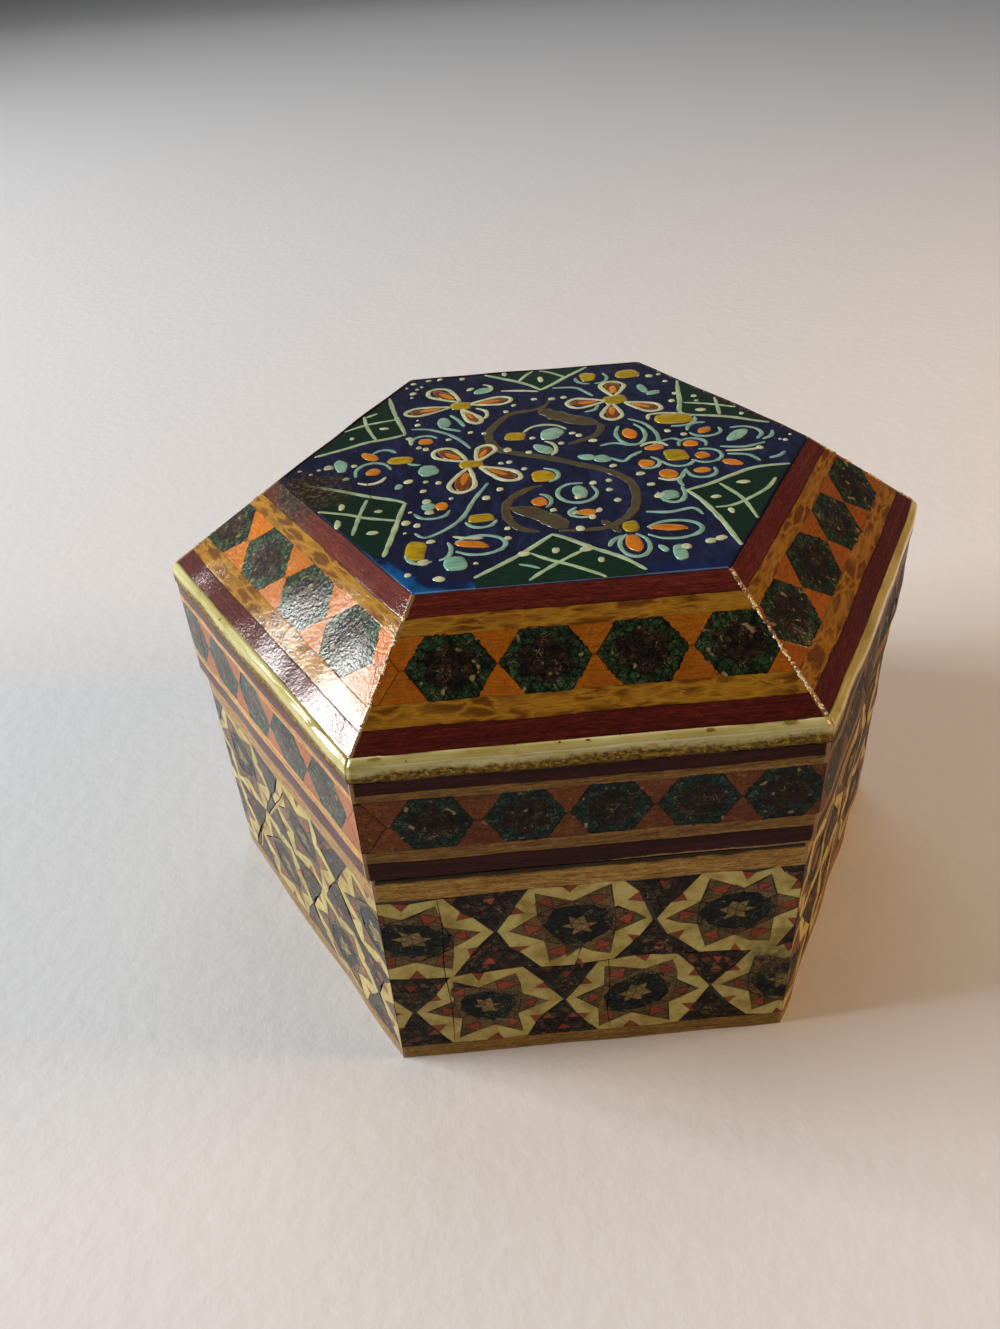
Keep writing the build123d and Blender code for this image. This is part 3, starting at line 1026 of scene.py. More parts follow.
def star_row(tiles, low, high, pitch, phase):
    """A row of stars between two heights of the field, with dark triangles between them."""
    middle = (low + high) / 2
    radius = pitch / 2 * STAR_FILL
    squash = (high - low) / 2 / (radius * ROW_SHARE)
    for x in places_along(tiles.field, pitch, phase):
        star_cell(tiles, (x, middle), radius, squash)
        crossing = x + pitch / 2
        left, right = x + radius / 2, x + pitch - radius / 2
        dark_triangle(tiles, [(crossing, middle + CROSSING_GAP), (right, high), (left, high)])
        dark_triangle(tiles, [(crossing, middle - CROSSING_GAP), (left, low), (right, low)])


def body_mosaics():
    """Two rows of stars on each side of the body."""
    low, high = box_mm("body_khatam_panel_back")
    fields = side_fields(body_face, low.z - TILE_UNDERLAP, high.z + TILE_UNDERLAP)
    for field, name, upper, lower in zip(fields, SIDES, UPPER_STARS, LOWER_STARS):
        tiles = Mosaic(Shape(), field, random.Random(100 + field.side), STAR_STRAY)
        star_row(tiles, field.width / 2, field.width, *upper)
        star_row(tiles, 0, field.width / 2, *lower)
        tiles.shape.build(f"body_mosaic_{name}", body_tiles, "box", "khatam_mosaic")


def lid_mosaics():
    """A band of medallions on the bevel and one on the lid's upright sides."""
    start, end = bevel_span("bevel_khatam_bands")
    fields = bevel_fields(start - TILE_UNDERLAP, end + TILE_UNDERLAP, BEVEL_BAND_PAINTED_LIGHT)
    medallion_band("bevel_mosaic", fields, BEVEL_MEDALLIONS, bevel_tiles, ORANGE, MEDALLION_GREEN, 7)
    low, high = box_mm("lid_side_khatam_bands")
    fields = side_fields(lid_face, low.z - TILE_UNDERLAP, high.z + TILE_UNDERLAP, BAND_PAINTED_LIGHT)
    medallion_band("lid_side_mosaic", fields, SIDE_MEDALLIONS, side_tiles, TERRACOTTA, SIDE_GREEN, 8)


# Painted panel

CREAM = srgb(208, 216, 172)
MINT = srgb(144, 188, 168)
SKY = srgb(138, 174, 186)
MUSTARD = srgb(182, 152, 10)
PAINT_ORANGE = srgb(222, 134, 24)
PETAL_BROWN = srgb(134, 74, 22)
SCROLL_BROWN = srgb(92, 80, 56)
LATTICE_GREEN = srgb(16, 46, 30)
LATTICE_LINE = srgb(178, 202, 160)
CRACK = srgb(8, 6, 6)

# How high each kind of paint stands, and how wide lines are
GROUND_FILM = 0.012
SCROLL_FILM = 0.006
PETAL_FILM = 0.025
LINE_FILM = 0.035
FILL_FILM = 0.045
DOT_FILM = 0.06
LINE_WIDTH = 0.60
PETAL_WIDTH = 0.68
LATTICE_WIDTH = 0.74
CROSSING_WIDTH = 0.64
PANEL_CRACK_WIDTH = 0.10
RIM_MARGIN = 0.3
# How square a dab is: 2 is round
HEART_SQUARE = 3.5
MUSTARD_SQUARE = 3

# Across a stroke: share of the half width, and share of the film's height
STROKE_PROFILE = (
    (-1, -0.2), (-0.72, 0.75), (0, 1), (0.72, 0.75), (1, -0.2), (0.9, -2), (-0.9, -2)
)
# Rings of a dab: share of its size, and share of the film's height
DAB_PROFILE = ((0.92, -2), (1, -0.1), (0.8, 0.8), (0.45, 1))
DAB_POINTS = 16
# Outline of a petal: share of its length, and share of its half width
PETAL_EDGE = ((0, 0.1), (0.35, 0.66), (0.72, 1), (0.94, 0.55))


def on_panel(point):
    """Whether a point lies on the panel, clear of its rim."""
    return all(point[0] * x + point[1] * y < panel_edge - RIM_MARGIN for x, y in OUTWARD)


def panel_place(x, y, lift=0):
    return Vector((x, y, panel_top + lift)) * MM


def smooth_line(points, spacing=0.4):
    """Points on a smooth curve through the given ones."""
    line = []
    for index in range(len(points) - 1):
        a = Vector(points[max(index - 1, 0)])
        b, c = Vector(points[index]), Vector(points[index + 1])
        d = Vector(points[min(index + 2, len(points) - 1)])
        count = max(2, round((c - b).length / spacing))
        for step in range(count):
            t = step / count
            line.append(0.5 * (2 * b + (c - a) * t + (2 * a - 5 * b + 4 * c - d) * t ** 2
                               + (3 * b - a - 3 * c + d) * t ** 3))
    return line + [Vector(points[-1])]


class Brush:
    """Paints strokes and dabs. `place` turns (u, v, lift) into a point, and `inside` says where to paint."""

    def __init__(self, shape, place, chance, inside=None):
        self.shape, self.place, self.chance, self.inside = shape, place, chance, inside

    def stroke(self, points, width, tint, film, thin=0.6):
        """A low ridge with round ends and an edge that wavers."""
        line = [point for point in smooth_line(points) if not self.inside or self.inside(point)]
        seed = self.chance.uniform(0, 100)
        colour = varied(tint, self.chance, 0.10)
        rings = []
        run = 0
        last = len(line) - 1
        for index, here in enumerate(line):
            before, after = line[max(index - 1, 0)], line[min(index + 1, last)]
            along = (after - before).normalized()
            across = Vector((-along.y, along.x))
            run += (here - before).length
            half = width / 2 * (1 - (1 - thin) * (2 * index / last - 1) ** 4)
            half *= 1 + 0.32 * lump(run * 0.9, seed, 0)
            shade = toned(colour, 1 + 0.14 * lump(run * 0.5, seed, 9))
            ends = [(here, half)]
            if index == 0:
                ends.insert(0, (here - along * half * 0.7, half * 0.45))
            if index == last:
                ends.append((here + along * half * 0.7, half * 0.45))
            for spot, reach in ends:
                ring = []
                for over, height in STROKE_PROFILE:
                    x, y = spot + across * over * reach
                    ring.append((self.place(x, y, film * height), shade, (run, over * reach, seed)))
                rings.append(ring)
        self.shape.loft(rings)

    def dab(self, centre, size, tint, film, turn=0, square=2):
        """A low dome with an uneven outline, round or rather square."""
        seed = self.chance.uniform(0, 100)
        colour = varied(tint, self.chance, 0.12)
        turn = math.radians(turn)
        rings = []
        for share, height in DAB_PROFILE:
            ring = []
            for index in range(DAB_POINTS):
                angle = 2 * math.pi * index / DAB_POINTS
                cos, sin = math.cos(angle), math.sin(angle)
                reach = (abs(cos) ** square + abs(sin) ** square) ** (-1 / square)
                reach *= 1 + 0.22 * lump(cos * 1.1, sin * 1.1, seed)
                x, y = cos * reach * size[0] / 2 * share, sin * reach * size[1] / 2 * share
                u = centre[0] + x * math.cos(turn) - y * math.sin(turn)
                v = centre[1] + x * math.sin(turn) + y * math.cos(turn)
                ring.append((self.place(u, v, film * height), colour, (x, y, seed)))
            rings.append(ring)
        self.shape.loft(rings)

    def petal(self, base, tip, width):
        """A pointed petal: an outline that runs out and back, round a darker fill."""
        root, end = Vector(base), Vector(tip)
        along = end - root
        across = Vector((-along.y, along.x)).normalized() * width / 2
        turn = math.degrees(math.atan2(along.y, along.x))
        side, other = (
            [root + along * share + across * reach * way for share, reach in PETAL_EDGE] for way in (1, -1)
        )
        length = along.length
        self.dab(root + along * 0.55, (length * 0.80, width * 0.66), PETAL_BROWN, PETAL_FILM, turn)
        self.dab(root + along * 0.45, (length * 0.58, width * 0.34), PAINT_ORANGE, FILL_FILM, turn)
        self.stroke(side + [end] + other[::-1], PETAL_WIDTH, CREAM, LINE_FILM, 0.8)

    def oval(self, centre, size, start, end, tint):
        """Part of an oval outline, between two angles."""
        steps = max(4, round(abs(end - start) / 40))
        angles = [math.radians(start + (end - start) * step / steps) for step in range(steps + 1)]
        points = [
            (centre[0] + math.cos(angle) * size[0] / 2, centre[1] + math.sin(angle) * size[1] / 2)
            for angle in angles
        ]
        self.stroke(points, LINE_WIDTH, tint, LINE_FILM)


# The six latticed corners of green: outline from rim to point to rim, inner strokes, and dots
LATTICES = (
    (
        [(-7.2, 29.9), (-5.5, 28.7), (-3.5, 27.2), (-1.5, 25.7), (0.3, 23.9), (1.7, 22)],
        [(1.7, 22), (3.5, 23.6), (5.5, 25.7), (8, 28), (10.2, 30)],
        [[(-1.3, 25.5), (0, 27.7), (1.4, 29.4)], [(1.6, 29.3), (3.5, 28.2), (5.6, 25.9)]],
        [(2, 25.8, 0.9, 2.3), (-3.1, 28.8, 0.8, 1.6)],
    ),
    (
        [(21.6, 23), (20.9, 19), (20.3, 14.5), (19.6, 10.7), (20.8, 9.5)],
        [(20.8, 9.5), (23, 8.9), (26, 7.8), (29, 6), (31.2, 4.9)],
        [[(20.8, 13.6), (24, 12.5), (28.3, 10.3)], [(24.9, 17), (25.1, 14), (24.6, 9)]],
        [(22.5, 15.6, 0.9, 1), (22.5, 14, 0.7, 0.6), (22.4, 10.9, 1.6, 1.1), (27.5, 8.7, 0.7, 1)],
    ),
    (
        [(29.8, -6.8), (25.5, -7), (22, -8.6), (19, -10.3), (16, -11.4)],
        [(16, -11.4), (17.3, -14.5), (18.4, -19), (19, -23), (19.4, -25.6)],
        [[(20.2, -10.5), (21.8, -14), (22.3, -17), (22.6, -21)],
         [(18.5, -16.1), (20.5, -15.9), (23, -14.4), (25.5, -12.4), (27, -10.2)]],
        [(23, -10.5, 1.7, 1), (19, -13.6, 1.3, 0.9), (20, -17.1, 0.8, 1.5)],
    ),
    (
        [(-10.2, -27), (-7.5, -25), (-4.5, -22.6), (-1, -19.2)],
        [(-1, -19.2), (0.3, -20.2), (3, -22.8), (6, -25.4), (8.1, -28.2)],
        [[(-3.8, -23), (-2, -24.6), (0, -25.9), (3, -28.3), (3.8, -29.2)],
         [(2.3, -23), (0, -24.6), (-2.5, -26.6), (-4.4, -28.4)]],
        [(-4.6, -22.9, 1.5, 1.2), (-1, -22.8, 0.9, 1.4), (2.3, -23, 1.5, 1.2), (3.7, -25.5, 0.8, 1.2)],
    ),
    (
        [(-30.2, -2.3), (-26, -4.3), (-22.5, -6.3), (-19, -8), (-17.8, -8.9)],
        [(-17.8, -8.9), (-18.3, -11), (-19.2, -16), (-20.2, -21)],
        [[(-28.2, -9.3), (-24.5, -10.7), (-22.5, -11.8), (-18.9, -13)],
         [(-22.5, -7.4), (-23.2, -10.8), (-23.9, -15.6)]],
        [(-25.5, -8.6, 0.8, 1.9), (-25.8, -12.8, 0.8, 2.2), (-21, -10.4, 1.1, 0.8),
         (-21.6, -15.5, 1.6, 1)],
    ),
    (
        [(-20.2, 24), (-19.7, 20), (-19, 16), (-17.9, 11), (-18.2, 10.4)],
        [(-18.2, 10.4), (-20, 9.7), (-23, 9), (-26, 7.5), (-29.6, 5.9)],
        [[(-23.6, 17.6), (-23.2, 14.5), (-22.4, 11.5), (-21.8, 9.8)],
         [(-28, 11), (-26, 13), (-23, 14.7), (-19.3, 15.6)], [(-23.2, 17.2), (-21.8, 18.2)]],
        [(-20.7, 13, 1.5, 0.8), (-25, 10.6, 0.7, 0.9)],
    ),
)

# Heart and its size, then each petal's root, tip and width
FLOWERS = (
    ((-9.9, 18.6), (3, 2.6), (((-10.2, 20.2), (-14, 24.9), 3.4), ((-8.6, 18.9), (-2.8, 19.6), 2.6),
                                ((-9.8, 17.2), (-7.8, 12.4), 1.9), ((-11.6, 18.4), (-17.8, 17.2), 2.6))),
    ((11.6, 16.5), (3.4, 3.2), (((11.6, 17.8), (12, 22.9), 3.4), ((10, 16.3), (4.8, 16.2), 3.2),
                                ((12.9, 15.3), (17.2, 12.2), 2.7), ((10.9, 15.2), (10.2, 10), 2.8))),
    ((-9.4, 0.2), (3.2, 2.2), (((-10, 1.2), (-13.8, 4.8), 3.2), ((-8.5, 1), (-6.7, 5.2), 2.4),
                               ((-8.2, -0.9), (-3.6, -4.9), 2.7), ((-9.8, -1), (-11.2, -7.3), 3.2))),
)

# The brown scroll: strokes with a width, thick to thin
SCROLLS = (
    ([(2.6, 18.2), (1.6, 16.2), (0, 15.2), (-3, 14.6), (-5, 12.2), (-6.5, 9), (-6.5, 6),
      (-5, 3.2), (-1.5, 1.2), (2, -0.8), (4, -2.3), (6.5, -4), (8.5, -6), (9.8, -8.5),
      (9.8, -12), (9, -15), (7.4, -17.2), (5.5, -18.6), (3, -18.8), (0, -18.5)], 1.25),
    ([(1, 15), (3, 12.8), (5.5, 10.8), (8, 9.4)], 2.9),
    ([(8, 9.6), (8.4, 8), (7.6, 6), (6.2, 4.9), (3.6, 3.6)], 1.1),
    ([(-1.2, -7.2), (-3.5, -8.3), (-5.3, -10.5), (-5.9, -13), (-5.5, -15.5), (-4.5, -17.3),
      (-2.5, -18.3)], 1.2),
    ([(-5, -12.4), (-3, -13.6), (-0.8, -15.8), (0.6, -17.8)], 2.9),
    ([(5, -17), (6, -18.6), (6.6, -20)], 1),
)

# Square dabs of mustard: middle and size
MUSTARDS = (
    (8.9, 25.3, 2.3, 3.4), (14.7, 25.3, 3.7, 3.2), (18.3, 8.8, 5.2, 3.3), (-3.2, 7.2, 2.8, 2.6),
    (-18.6, 2.9, 3.4, 2.3), (-0.6, -4.8, 3, 3), (-8.9, -14, 3.2, 2), (-16.6, -20.4, 2.4, 4.4),
    (8, -18.8, 1.9, 2.6), (16.5, -2, 3.2, 3.4),
)

# Orange dabs: middle, size and turn
ORANGES = (
    (-15.1, 7.8, 2.1, 1.9, 0), (-22.4, 4.6, 3, 1.7, -55), (-21.9, 0.1, 2, 2, 0),
    (-13.4, -10.4, 1.6, 2.1, 0), (-1.7, -11.3, 2, 2.4, 0), (3.5, -14.7, 2.4, 1.6, 0),
    (-10.2, -19.9, 4.1, 1.6, -20), (12.2, -19.8, 4.5, 1.5, -12), (7.8, -22.6, 1.9, 3.9, 5),
    (11.8, 5.3, 2, 3.4, 8), (21.6, 4.6, 2.3, 1.5, 40), (23, -5.2, 2.6, 1.7, -35),
    (19, 0.9, 2.1, 1.9, 0), (19.8, -2.6, 2, 2, 0), (18.9, -6.6, 2.2, 1.6, 0),
    (14.7, -6.8, 2.4, 2.6, 0), (12.5, -3.6, 2.2, 2.2, 0), (14.3, 0.6, 2.6, 1.7, 10),
)

# Mint dabs: middle, size and turn
MINTS = (
    (-6.6, 23.3, 3, 2, 35), (-12.5, 13.4, 2, 3.4, 0), (15.9, 19.6, 1.3, 3.2, 8),
    (17.2, 17.9, 2.2, 1.4, 20), (1.7, 7.2, 3, 4, -25), (0.2, 2.8, 2, 3.6, 35),
    (-26.1, 2.5, 1.7, 4, 10), (-14.9, -0.8, 2.7, 3.2, 0), (5.4, -0.6, 2.4, 1.7, -20),
    (7.3, -1.3, 2.6, 2.2, -50), (25.4, 2.4, 4.4, 1.9, 48), (3.4, -9.6, 1.8, 3.6, 10),
    (13.7, -12.2, 2.7, 2.4, 30), (-12.2, -23.9, 2.8, 3.3, 0), (12.4, -25.2, 1.7, 3.4, 0),
    (10.8, -24.2, 0.9, 1.8, 20), (-15, -10.3, 1.8, 2, 0), (-18.6, -4.5, 1, 1.5, -20),
)

# Open ovals: middle, size, first and last angle
OVALS = (
    (-6.6, 24, 2.6, 3, -60, 80), (0.9, 7.4, 6, 5.4, 20, 160), (0.4, 2.8, 2.8, 4.4, -60, 80),
    (3, -9.8, 4.8, 5, 70, 395), (14.1, -11.4, 3.2, 5.4, -180, 20), (11.9, 5.2, 3.8, 6.6, -230, 60),
    (21.6, 4.4, 4.2, 3.4, -170, 20), (21.4, 4.9, 4, 4.2, 70, 180), (26, 2.6, 5.2, 4.4, -50, 110),
    (-21.9, 0, 4.6, 5.4, 10, 200), (-22.3, -0.8, 4.2, 4.8, 230, 340), (-15.2, 8.2, 3.4, 2.8, 20, 190),
    (-9.4, -20.2, 6, 4.2, -150, 150), (12.7, -20.3, 6.4, 4, -160, 150),
    (7.8, -23, 3.3, 5, -250, 70), (-15.9, -20.8, 3.8, 5, 190, 300), (-13.9, -20.6, 2.6, 4.4, -90, 40),
    (-0.6, -4.6, 3.8, 3.8, -70, 80), (16.6, -2.4, 4.6, 5.4, 200, 330), (19.2, 0.8, 3.6, 3.2, -30, 190),
    (20.1, -2.7, 4.2, 3.8, -150, 100), (18.8, -6.8, 3.6, 3.4, -190, 20), (14.8, -6.6, 3.8, 3.8, -30, -140),
    (14.2, 0.6, 3.6, 3, 10, 150), (12.6, -3.4, 3.2, 3.2, -120, 60), (-14.6, -11.6, 4.2, 3.4, -170, 0),
    (-1.7, -11.2, 2.8, 3.6, -60, 80), (10, 24.8, 3.2, 4.2, -100, 40), (8.7, 24.8, 3.4, 4, 170, 270),
    (-8.9, -14.6, 3.6, 3.4, 190, 350), (18.6, 8.4, 5.2, 4, 250, 370), (3.2, -14.6, 3.4, 2.6, 120, 300),
    (-20.6, 4.6, 3.2, 3.4, 20, 150),
)

# Thin stems: colour and points
STEMS = (
    (MINT, [(-16.9, 12), (-14.5, 11.5), (-12, 9.5), (-10.3, 7), (-9.3, 4.8)]),
    (MINT, [(-7.6, -5.5), (-9.5, -9.5), (-11, -13.5), (-13, -16), (-15.4, -17.6), (-16.6, -16.5)]),
    (CREAM, [(-3.9, 22.7), (-1, 22.2), (1.2, 21.5)]),
    (MINT, [(3.5, 22.3), (6.5, 21.8), (7.6, 20.4), (8.7, 18.4)]),
    (CREAM, [(-7.8, 17.3), (-6.6, 16.2), (-6.5, 14.6), (-7, 13.7)]),
    (MINT, [(9, 15), (8.3, 13.7), (7, 13.2)]),
    (MINT, [(-11.5, 15.6), (-10.4, 13.6), (-9.8, 11.7)]),
    (MINT, [(-12.6, 11.6), (-10.4, 10.3)]),
    (MINT, [(12.4, 9.8), (14.2, 8), (15.2, 5), (15.1, 2.5), (14.2, 1.2)]),
    (MINT, [(7.6, 2.4), (9.4, 2.8), (11.4, 1.8)]),
    (MINT, [(15.4, 2.3), (17, 2.8), (18, 2)]),
    (MINT, [(8.4, -1.4), (9.8, -2.5), (11, -1.2), (12.4, -0.2)]),
    (MINT, [(10.4, -15.8), (13, -16.3), (15.8, -15.8), (16.6, -17.4)]),
    (MINT, [(23, -2.8), (25.4, -3.5), (26.4, -5.3)]),
    (MINT, [(22.6, -0.6), (25.5, -1.2), (28.2, -0.4)]),
    (CREAM, [(23, -1.9), (26, -2.1), (27.4, -1.8)]),
    (SKY, [(27.8, -4.8), (29, -4.4), (30, -3.5)]),
    (MINT, [(28.4, 0.6), (29.6, 1.4), (30.1, 2.8)]),
    (MINT, [(17, -6), (16.2, -7.6), (15.6, -8.8), (15.8, -10.2)]),
    (CREAM, [(-12.2, -17.9), (-11, -18.4), (-9, -18.7)]),
    (MINT, [(-5.2, -25.1), (-4.1, -25.6), (-3.2, -26.2)]),
    (MINT, [(5, -22.8), (5.6, -21.6), (6.8, -20.8)]),
    (CREAM, [(-17.2, 9.3), (-17, 7.2)]),
    (MINT, [(-17.4, 1.7), (-16.6, 1.2), (-15.9, 1.1)]),
    (CREAM, [(15, 9.2), (15.3, 10.6), (17.2, 10.8), (19.2, 10.4)]),
)

# Cream dots: place and breadth
DOTS = (
    (-16.6, 27.8, 0.8), (-17.6, 26.4, 0.5), (-15.4, 26.4, 0.5), (-16.1, 25.7, 0.5), (-16.7, 24.2, 1),
    (-16.9, 22.8, 0.5), (-14.4, 28.6, 0.9), (-12.7, 28.7, 0.8), (-9.4, 28.3, 0.9), (-8.4, 24.2, 1.1),
    (-2.6, 17.3, 0.9), (-3.8, 15.4, 0.9), (-16.1, 13.3, 0.9), (-16.1, 14.8, 0.4), (-9, 9.6, 0.8),
    (-12, 7.9, 0.8), (-17.3, 9.2, 1.1), (-16, 6.1, 1), (-15.1, 5.5, 0.9), (-24.4, 2.3, 0.9),
    (-27.7, 2.4, 1.2), (-28.9, 1.9, 0.6), (-31.4, 2, 0.5), (-29.9, 0.8, 0.6), (-7.2, 8.9, 0.9),
    (-4.5, 3.4, 1.2), (-1.8, 2.2, 0.9), (0.4, 18.9, 1), (2.9, 18.5, 0.9), (4.6, 18.7, 0.9),
    (4.4, 6.8, 0.9), (5.2, 6, 0.9), (2.6, 4.1, 1), (6.8, 4.1, 1.1), (17.7, 23.9, 1.2),
    (19.1, 24.2, 0.7), (19.6, 21.5, 0.8), (20.1, 17, 0.9), (19.2, 14.6, 1), (16.8, 5.2, 1),
    (18.7, 3.8, 1), (8.3, -3.5, 1), (11.3, -6.2, 1.1), (12.1, -9.2, 1), (5.2, -7.6, 1),
    (7.2, -7.3, 1), (6.9, -9.7, 1), (7.5, -12.4, 1), (5, -14.5, 1), (2.3, -18.4, 1.3),
    (16.2, -23.4, 1.2), (17.5, -23, 1.2), (-25.3, -1.2, 1), (-17.4, -3.3, 1.1), (-13.7, -4.3, 1),
    (-15.2, -3.8, 0.7), (-15.6, -6.2, 1), (-6.2, -7.3, 1), (-8, -9.2, 1.1), (-12.2, -8.7, 0.6),
    (-17.2, -11.3, 0.5), (-17.7, -13.8, 1.1), (-16.4, -14.6, 1), (-17.8, -16.2, 0.5), (-6, -17, 0.9),
    (-6.1, -19.2, 1), (-2.8, -2.4, 1), (-4.5, -0.2, 0.9), (-5.6, -0.3, 0.7), (-14.1, -26.7, 1.3),
    (-17.5, -25.4, 0.9), (-15.7, -23, 1.3), (-10, -24.1, 0.6), (-0.3, -13.6, 0.9), (31, -0.2, 0.7),
    (32, 1.2, 0.5), (30.4, 0.1, 0.5), (13.3, -24.2, 1.4), (-15.2, -8.9, 1.1), (-14.9, -11.7, 1.1),
    (12.6, -12.2, 1.3), (3, -10.8, 1.2), (2.2, -14.6, 1), (4, -15.9, 1), (27.3, -1.8, 1),
    (-14.9, -18.6, 1), (-1, 6.3, 0.9),
)
PANEL_CRACK = [(-22.3, -1.5), (-22.6, -3.6), (-22.4, -5.4), (-21.8, -7.3)]


def lattice_ground(shape, outline, chance):
    """A flat film of green between a lattice's outline and the panel's rim."""
    middle = outline[0] + outline[-1]
    outward = middle.normalized() * 4
    ends = [outline[-1] + outward, outline[0] + outward]
    polygon = anticlockwise([tuple(point) for point in outline + ends])
    polygon = within(polygon, hexagon((0, 0), (panel_edge - RIM_MARGIN) * CORNER_REACH))
    seed = chance.uniform(0, 100)
    colour = varied(LATTICE_GREEN, chance, 0.1)
    shape.loft([
        [(panel_place(x, y, lift), colour, (x, y, seed)) for x, y in polygon] for lift in (-0.05, GROUND_FILM)
    ])


def paint_ornament():
    """Lattice corners, flowers, scroll, dabs, stems and dots, brushed on the blue ground."""
    chance = random.Random(40)
    shape, grounds = Shape(), Shape()
    brush = Brush(shape, panel_place, chance, on_panel)
    for first, second, crossings, dots in LATTICES:
        lattice_ground(grounds, smooth_line(first) + smooth_line(second)[1:], chance)
        for points in (first, second):
            brush.stroke(points, LATTICE_WIDTH, LATTICE_LINE, LINE_FILM)
        for points in crossings:
            brush.stroke(points, CROSSING_WIDTH, LATTICE_LINE, LINE_FILM - 0.01)
        for x, y, *size in dots:
            brush.dab((x, y), size, CREAM, DOT_FILM)
    for points, width in SCROLLS:
        brush.stroke(points, width, SCROLL_BROWN, SCROLL_FILM, 0.35)
    for x, y, width, height, turn in MINTS:
        brush.dab((x, y), (width, height), MINT, FILL_FILM, turn)
    for x, y, width, height, start, end in OVALS:
        brush.oval((x, y), (width, height), start, end, chance.choice((MINT, CREAM, MINT)))
    for tint, points in STEMS:
        brush.stroke(points, LINE_WIDTH, tint, LINE_FILM)
    for x, y, width, height, turn in ORANGES:
        brush.dab((x, y), (width, height), PAINT_ORANGE, FILL_FILM + 0.01, turn)
    for heart, size, petals in FLOWERS:
        for base, tip, width in petals:
            brush.petal(base, tip, width)
        brush.dab(heart, size, MUSTARD, DOT_FILM, square=HEART_SQUARE)
    for x, y, *size in MUSTARDS:
        brush.dab((x, y), size, MUSTARD, DOT_FILM, square=MUSTARD_SQUARE)
    for x, y, breadth in DOTS:
        size = (breadth * chance.uniform(0.85, 1.2), breadth * chance.uniform(0.8, 1.1))
        brush.dab((x, y), size, CREAM, DOT_FILM + 0.01, chance.uniform(0, 90))
    brush.stroke(PANEL_CRACK, PANEL_CRACK_WIDTH, CRACK, DOT_FILM + 0.01)
    grounds.build("lattice_grounds", enamel, "lid", "painted_panel")
    shape.build("painted_ornament", enamel, "lid", "painted_panel", smooth=True)


def painted_panel():
    """Flat six-sided panel with a softly rounded rim."""
    low, high = panel_box
    rim = [(0, low.z), (0, high.z - 0.35), (0.06, high.z - 0.17), (0.18, high.z - 0.06)]
    flat = [(inset, high.z) for inset in (0.38, 1, 2, 3.5, 6, 12, 20)]
    shape = Shape()
    shape.loft([
        [(Vector((x, y, height)) * MM, WHITE, (inset, 0, 0))
         for x, y in hexagon((0, 0), (panel_edge - inset) * CORNER_REACH)]
        for inset, height in rim + flat
    ])
    shape.build("painted_panel_finish", blue_paint, "lid", "painted_panel", "painted_panel")


# How empty the crowding noise must be for a gap in each mitre's flecks, from the front's right end round; the
# front's right mitre, where the painted glints are thickest, has fewest gaps
FLECK_GAPS = (-0.6, 0, 0.1, -0.1, 0.05, -0.05)
# Fleck tints: gold, with the near-white ones as painted glints
FLECK_AND_GLINT_TINTS = (
    srgb(252, 218, 150), srgb(255, 244, 212), srgb(214, 150, 78), srgb(246, 206, 138), srgb(140, 92, 44)
)
# Spots on the front bone, near the fold: place along the side, size and colour
BONE_SPOTS = (
    (12.4, 1, 0.9, (150, 112, 30)), (-0.2, 0.5, 0.34, (96, 44, 20)), (-3.1, 0.3, 0.3, (70, 44, 16)),
    (-22.2, 1.5, 0.9, (158, 132, 56)), (20.6, 1.3, 0.8, (150, 126, 56)),
)
# Joints between sheets of veneer on the front: (u, height)
VENEER_JOINTS = (
    [(-17.7, 29.6), (-17.5, 24), (-17.9, 17.5), (-17.6, 10), (-17.8, 2.8)],
    [(2, 16.4), (2.2, 12), (1.9, 6.5), (2.3, 2.8)],
)
# Cracks in the veneer on the front left side, from near the seam down to the foot: (u, height)
VENEER_CRACKS = (
    [(-0.6, 28.2), (-2.4, 25.6), (-4.6, 23.2), (-7.1, 20.4), (-10.4, 16.6)],
    [(-14.2, 11.2), (-16, 8.6), (-17.2, 6.2), (-19, 3.2)],
)
CRACK_LIP_TINT = srgb(186, 138, 50)
CRACK_LIP_SHIFT = (0.42, 0.16)
# Strokes along a crack: its raised lip, the open gap as a dark stroke of painted shade, and a closed joint
LIP_STROKE = {"width": 0.55, "tint": CRACK_LIP_TINT, "film": 0.12, "thin": 0.3}
CRACK_STROKE = {"width": 0.42, "tint": CRACK, "film": 0.07, "thin": 0.3}
JOINT_STROKE = {"width": 0.14, "tint": CRACK, "film": 0.04, "thin": 0.5}
BONE_SPOT_HEIGHT = 0.58
BONE_SPOT_FILM = 0.02


def mitre_flecks_and_glints():
    """Built-up lacquer and gold dust along the bevel's mitres, worn to separate flecks, the palest of them
    painted as glints.
    """
    shape = Shape()
    for field, gap in zip(bevel_fields(0.1, bevel_length - 0.9), FLECK_GAPS):
        chance = random.Random(300 + field.side)
        brush = Brush(shape, field.point, chance)
        v = 0
        while v < field.width - 0.3:
            v += chance.uniform(0.10, 0.36)
            if lump(v * 0.4, field.side * 3, 5) < gap:
                continue
            u = field.half_length(v) + 0.03 - abs(chance.gauss(0, 0.10))
            size = (chance.uniform(0.22, 0.62), chance.uniform(0.20, 0.44))
            tint = chance.choice(FLECK_AND_GLINT_TINTS)
            brush.dab((u, v), size, tint, 0.10, chance.uniform(0, 180))
    shape.build("mitre_flecks_and_glints", gilt_and_glints, "lid", "khatam_mosaic", smooth=True)


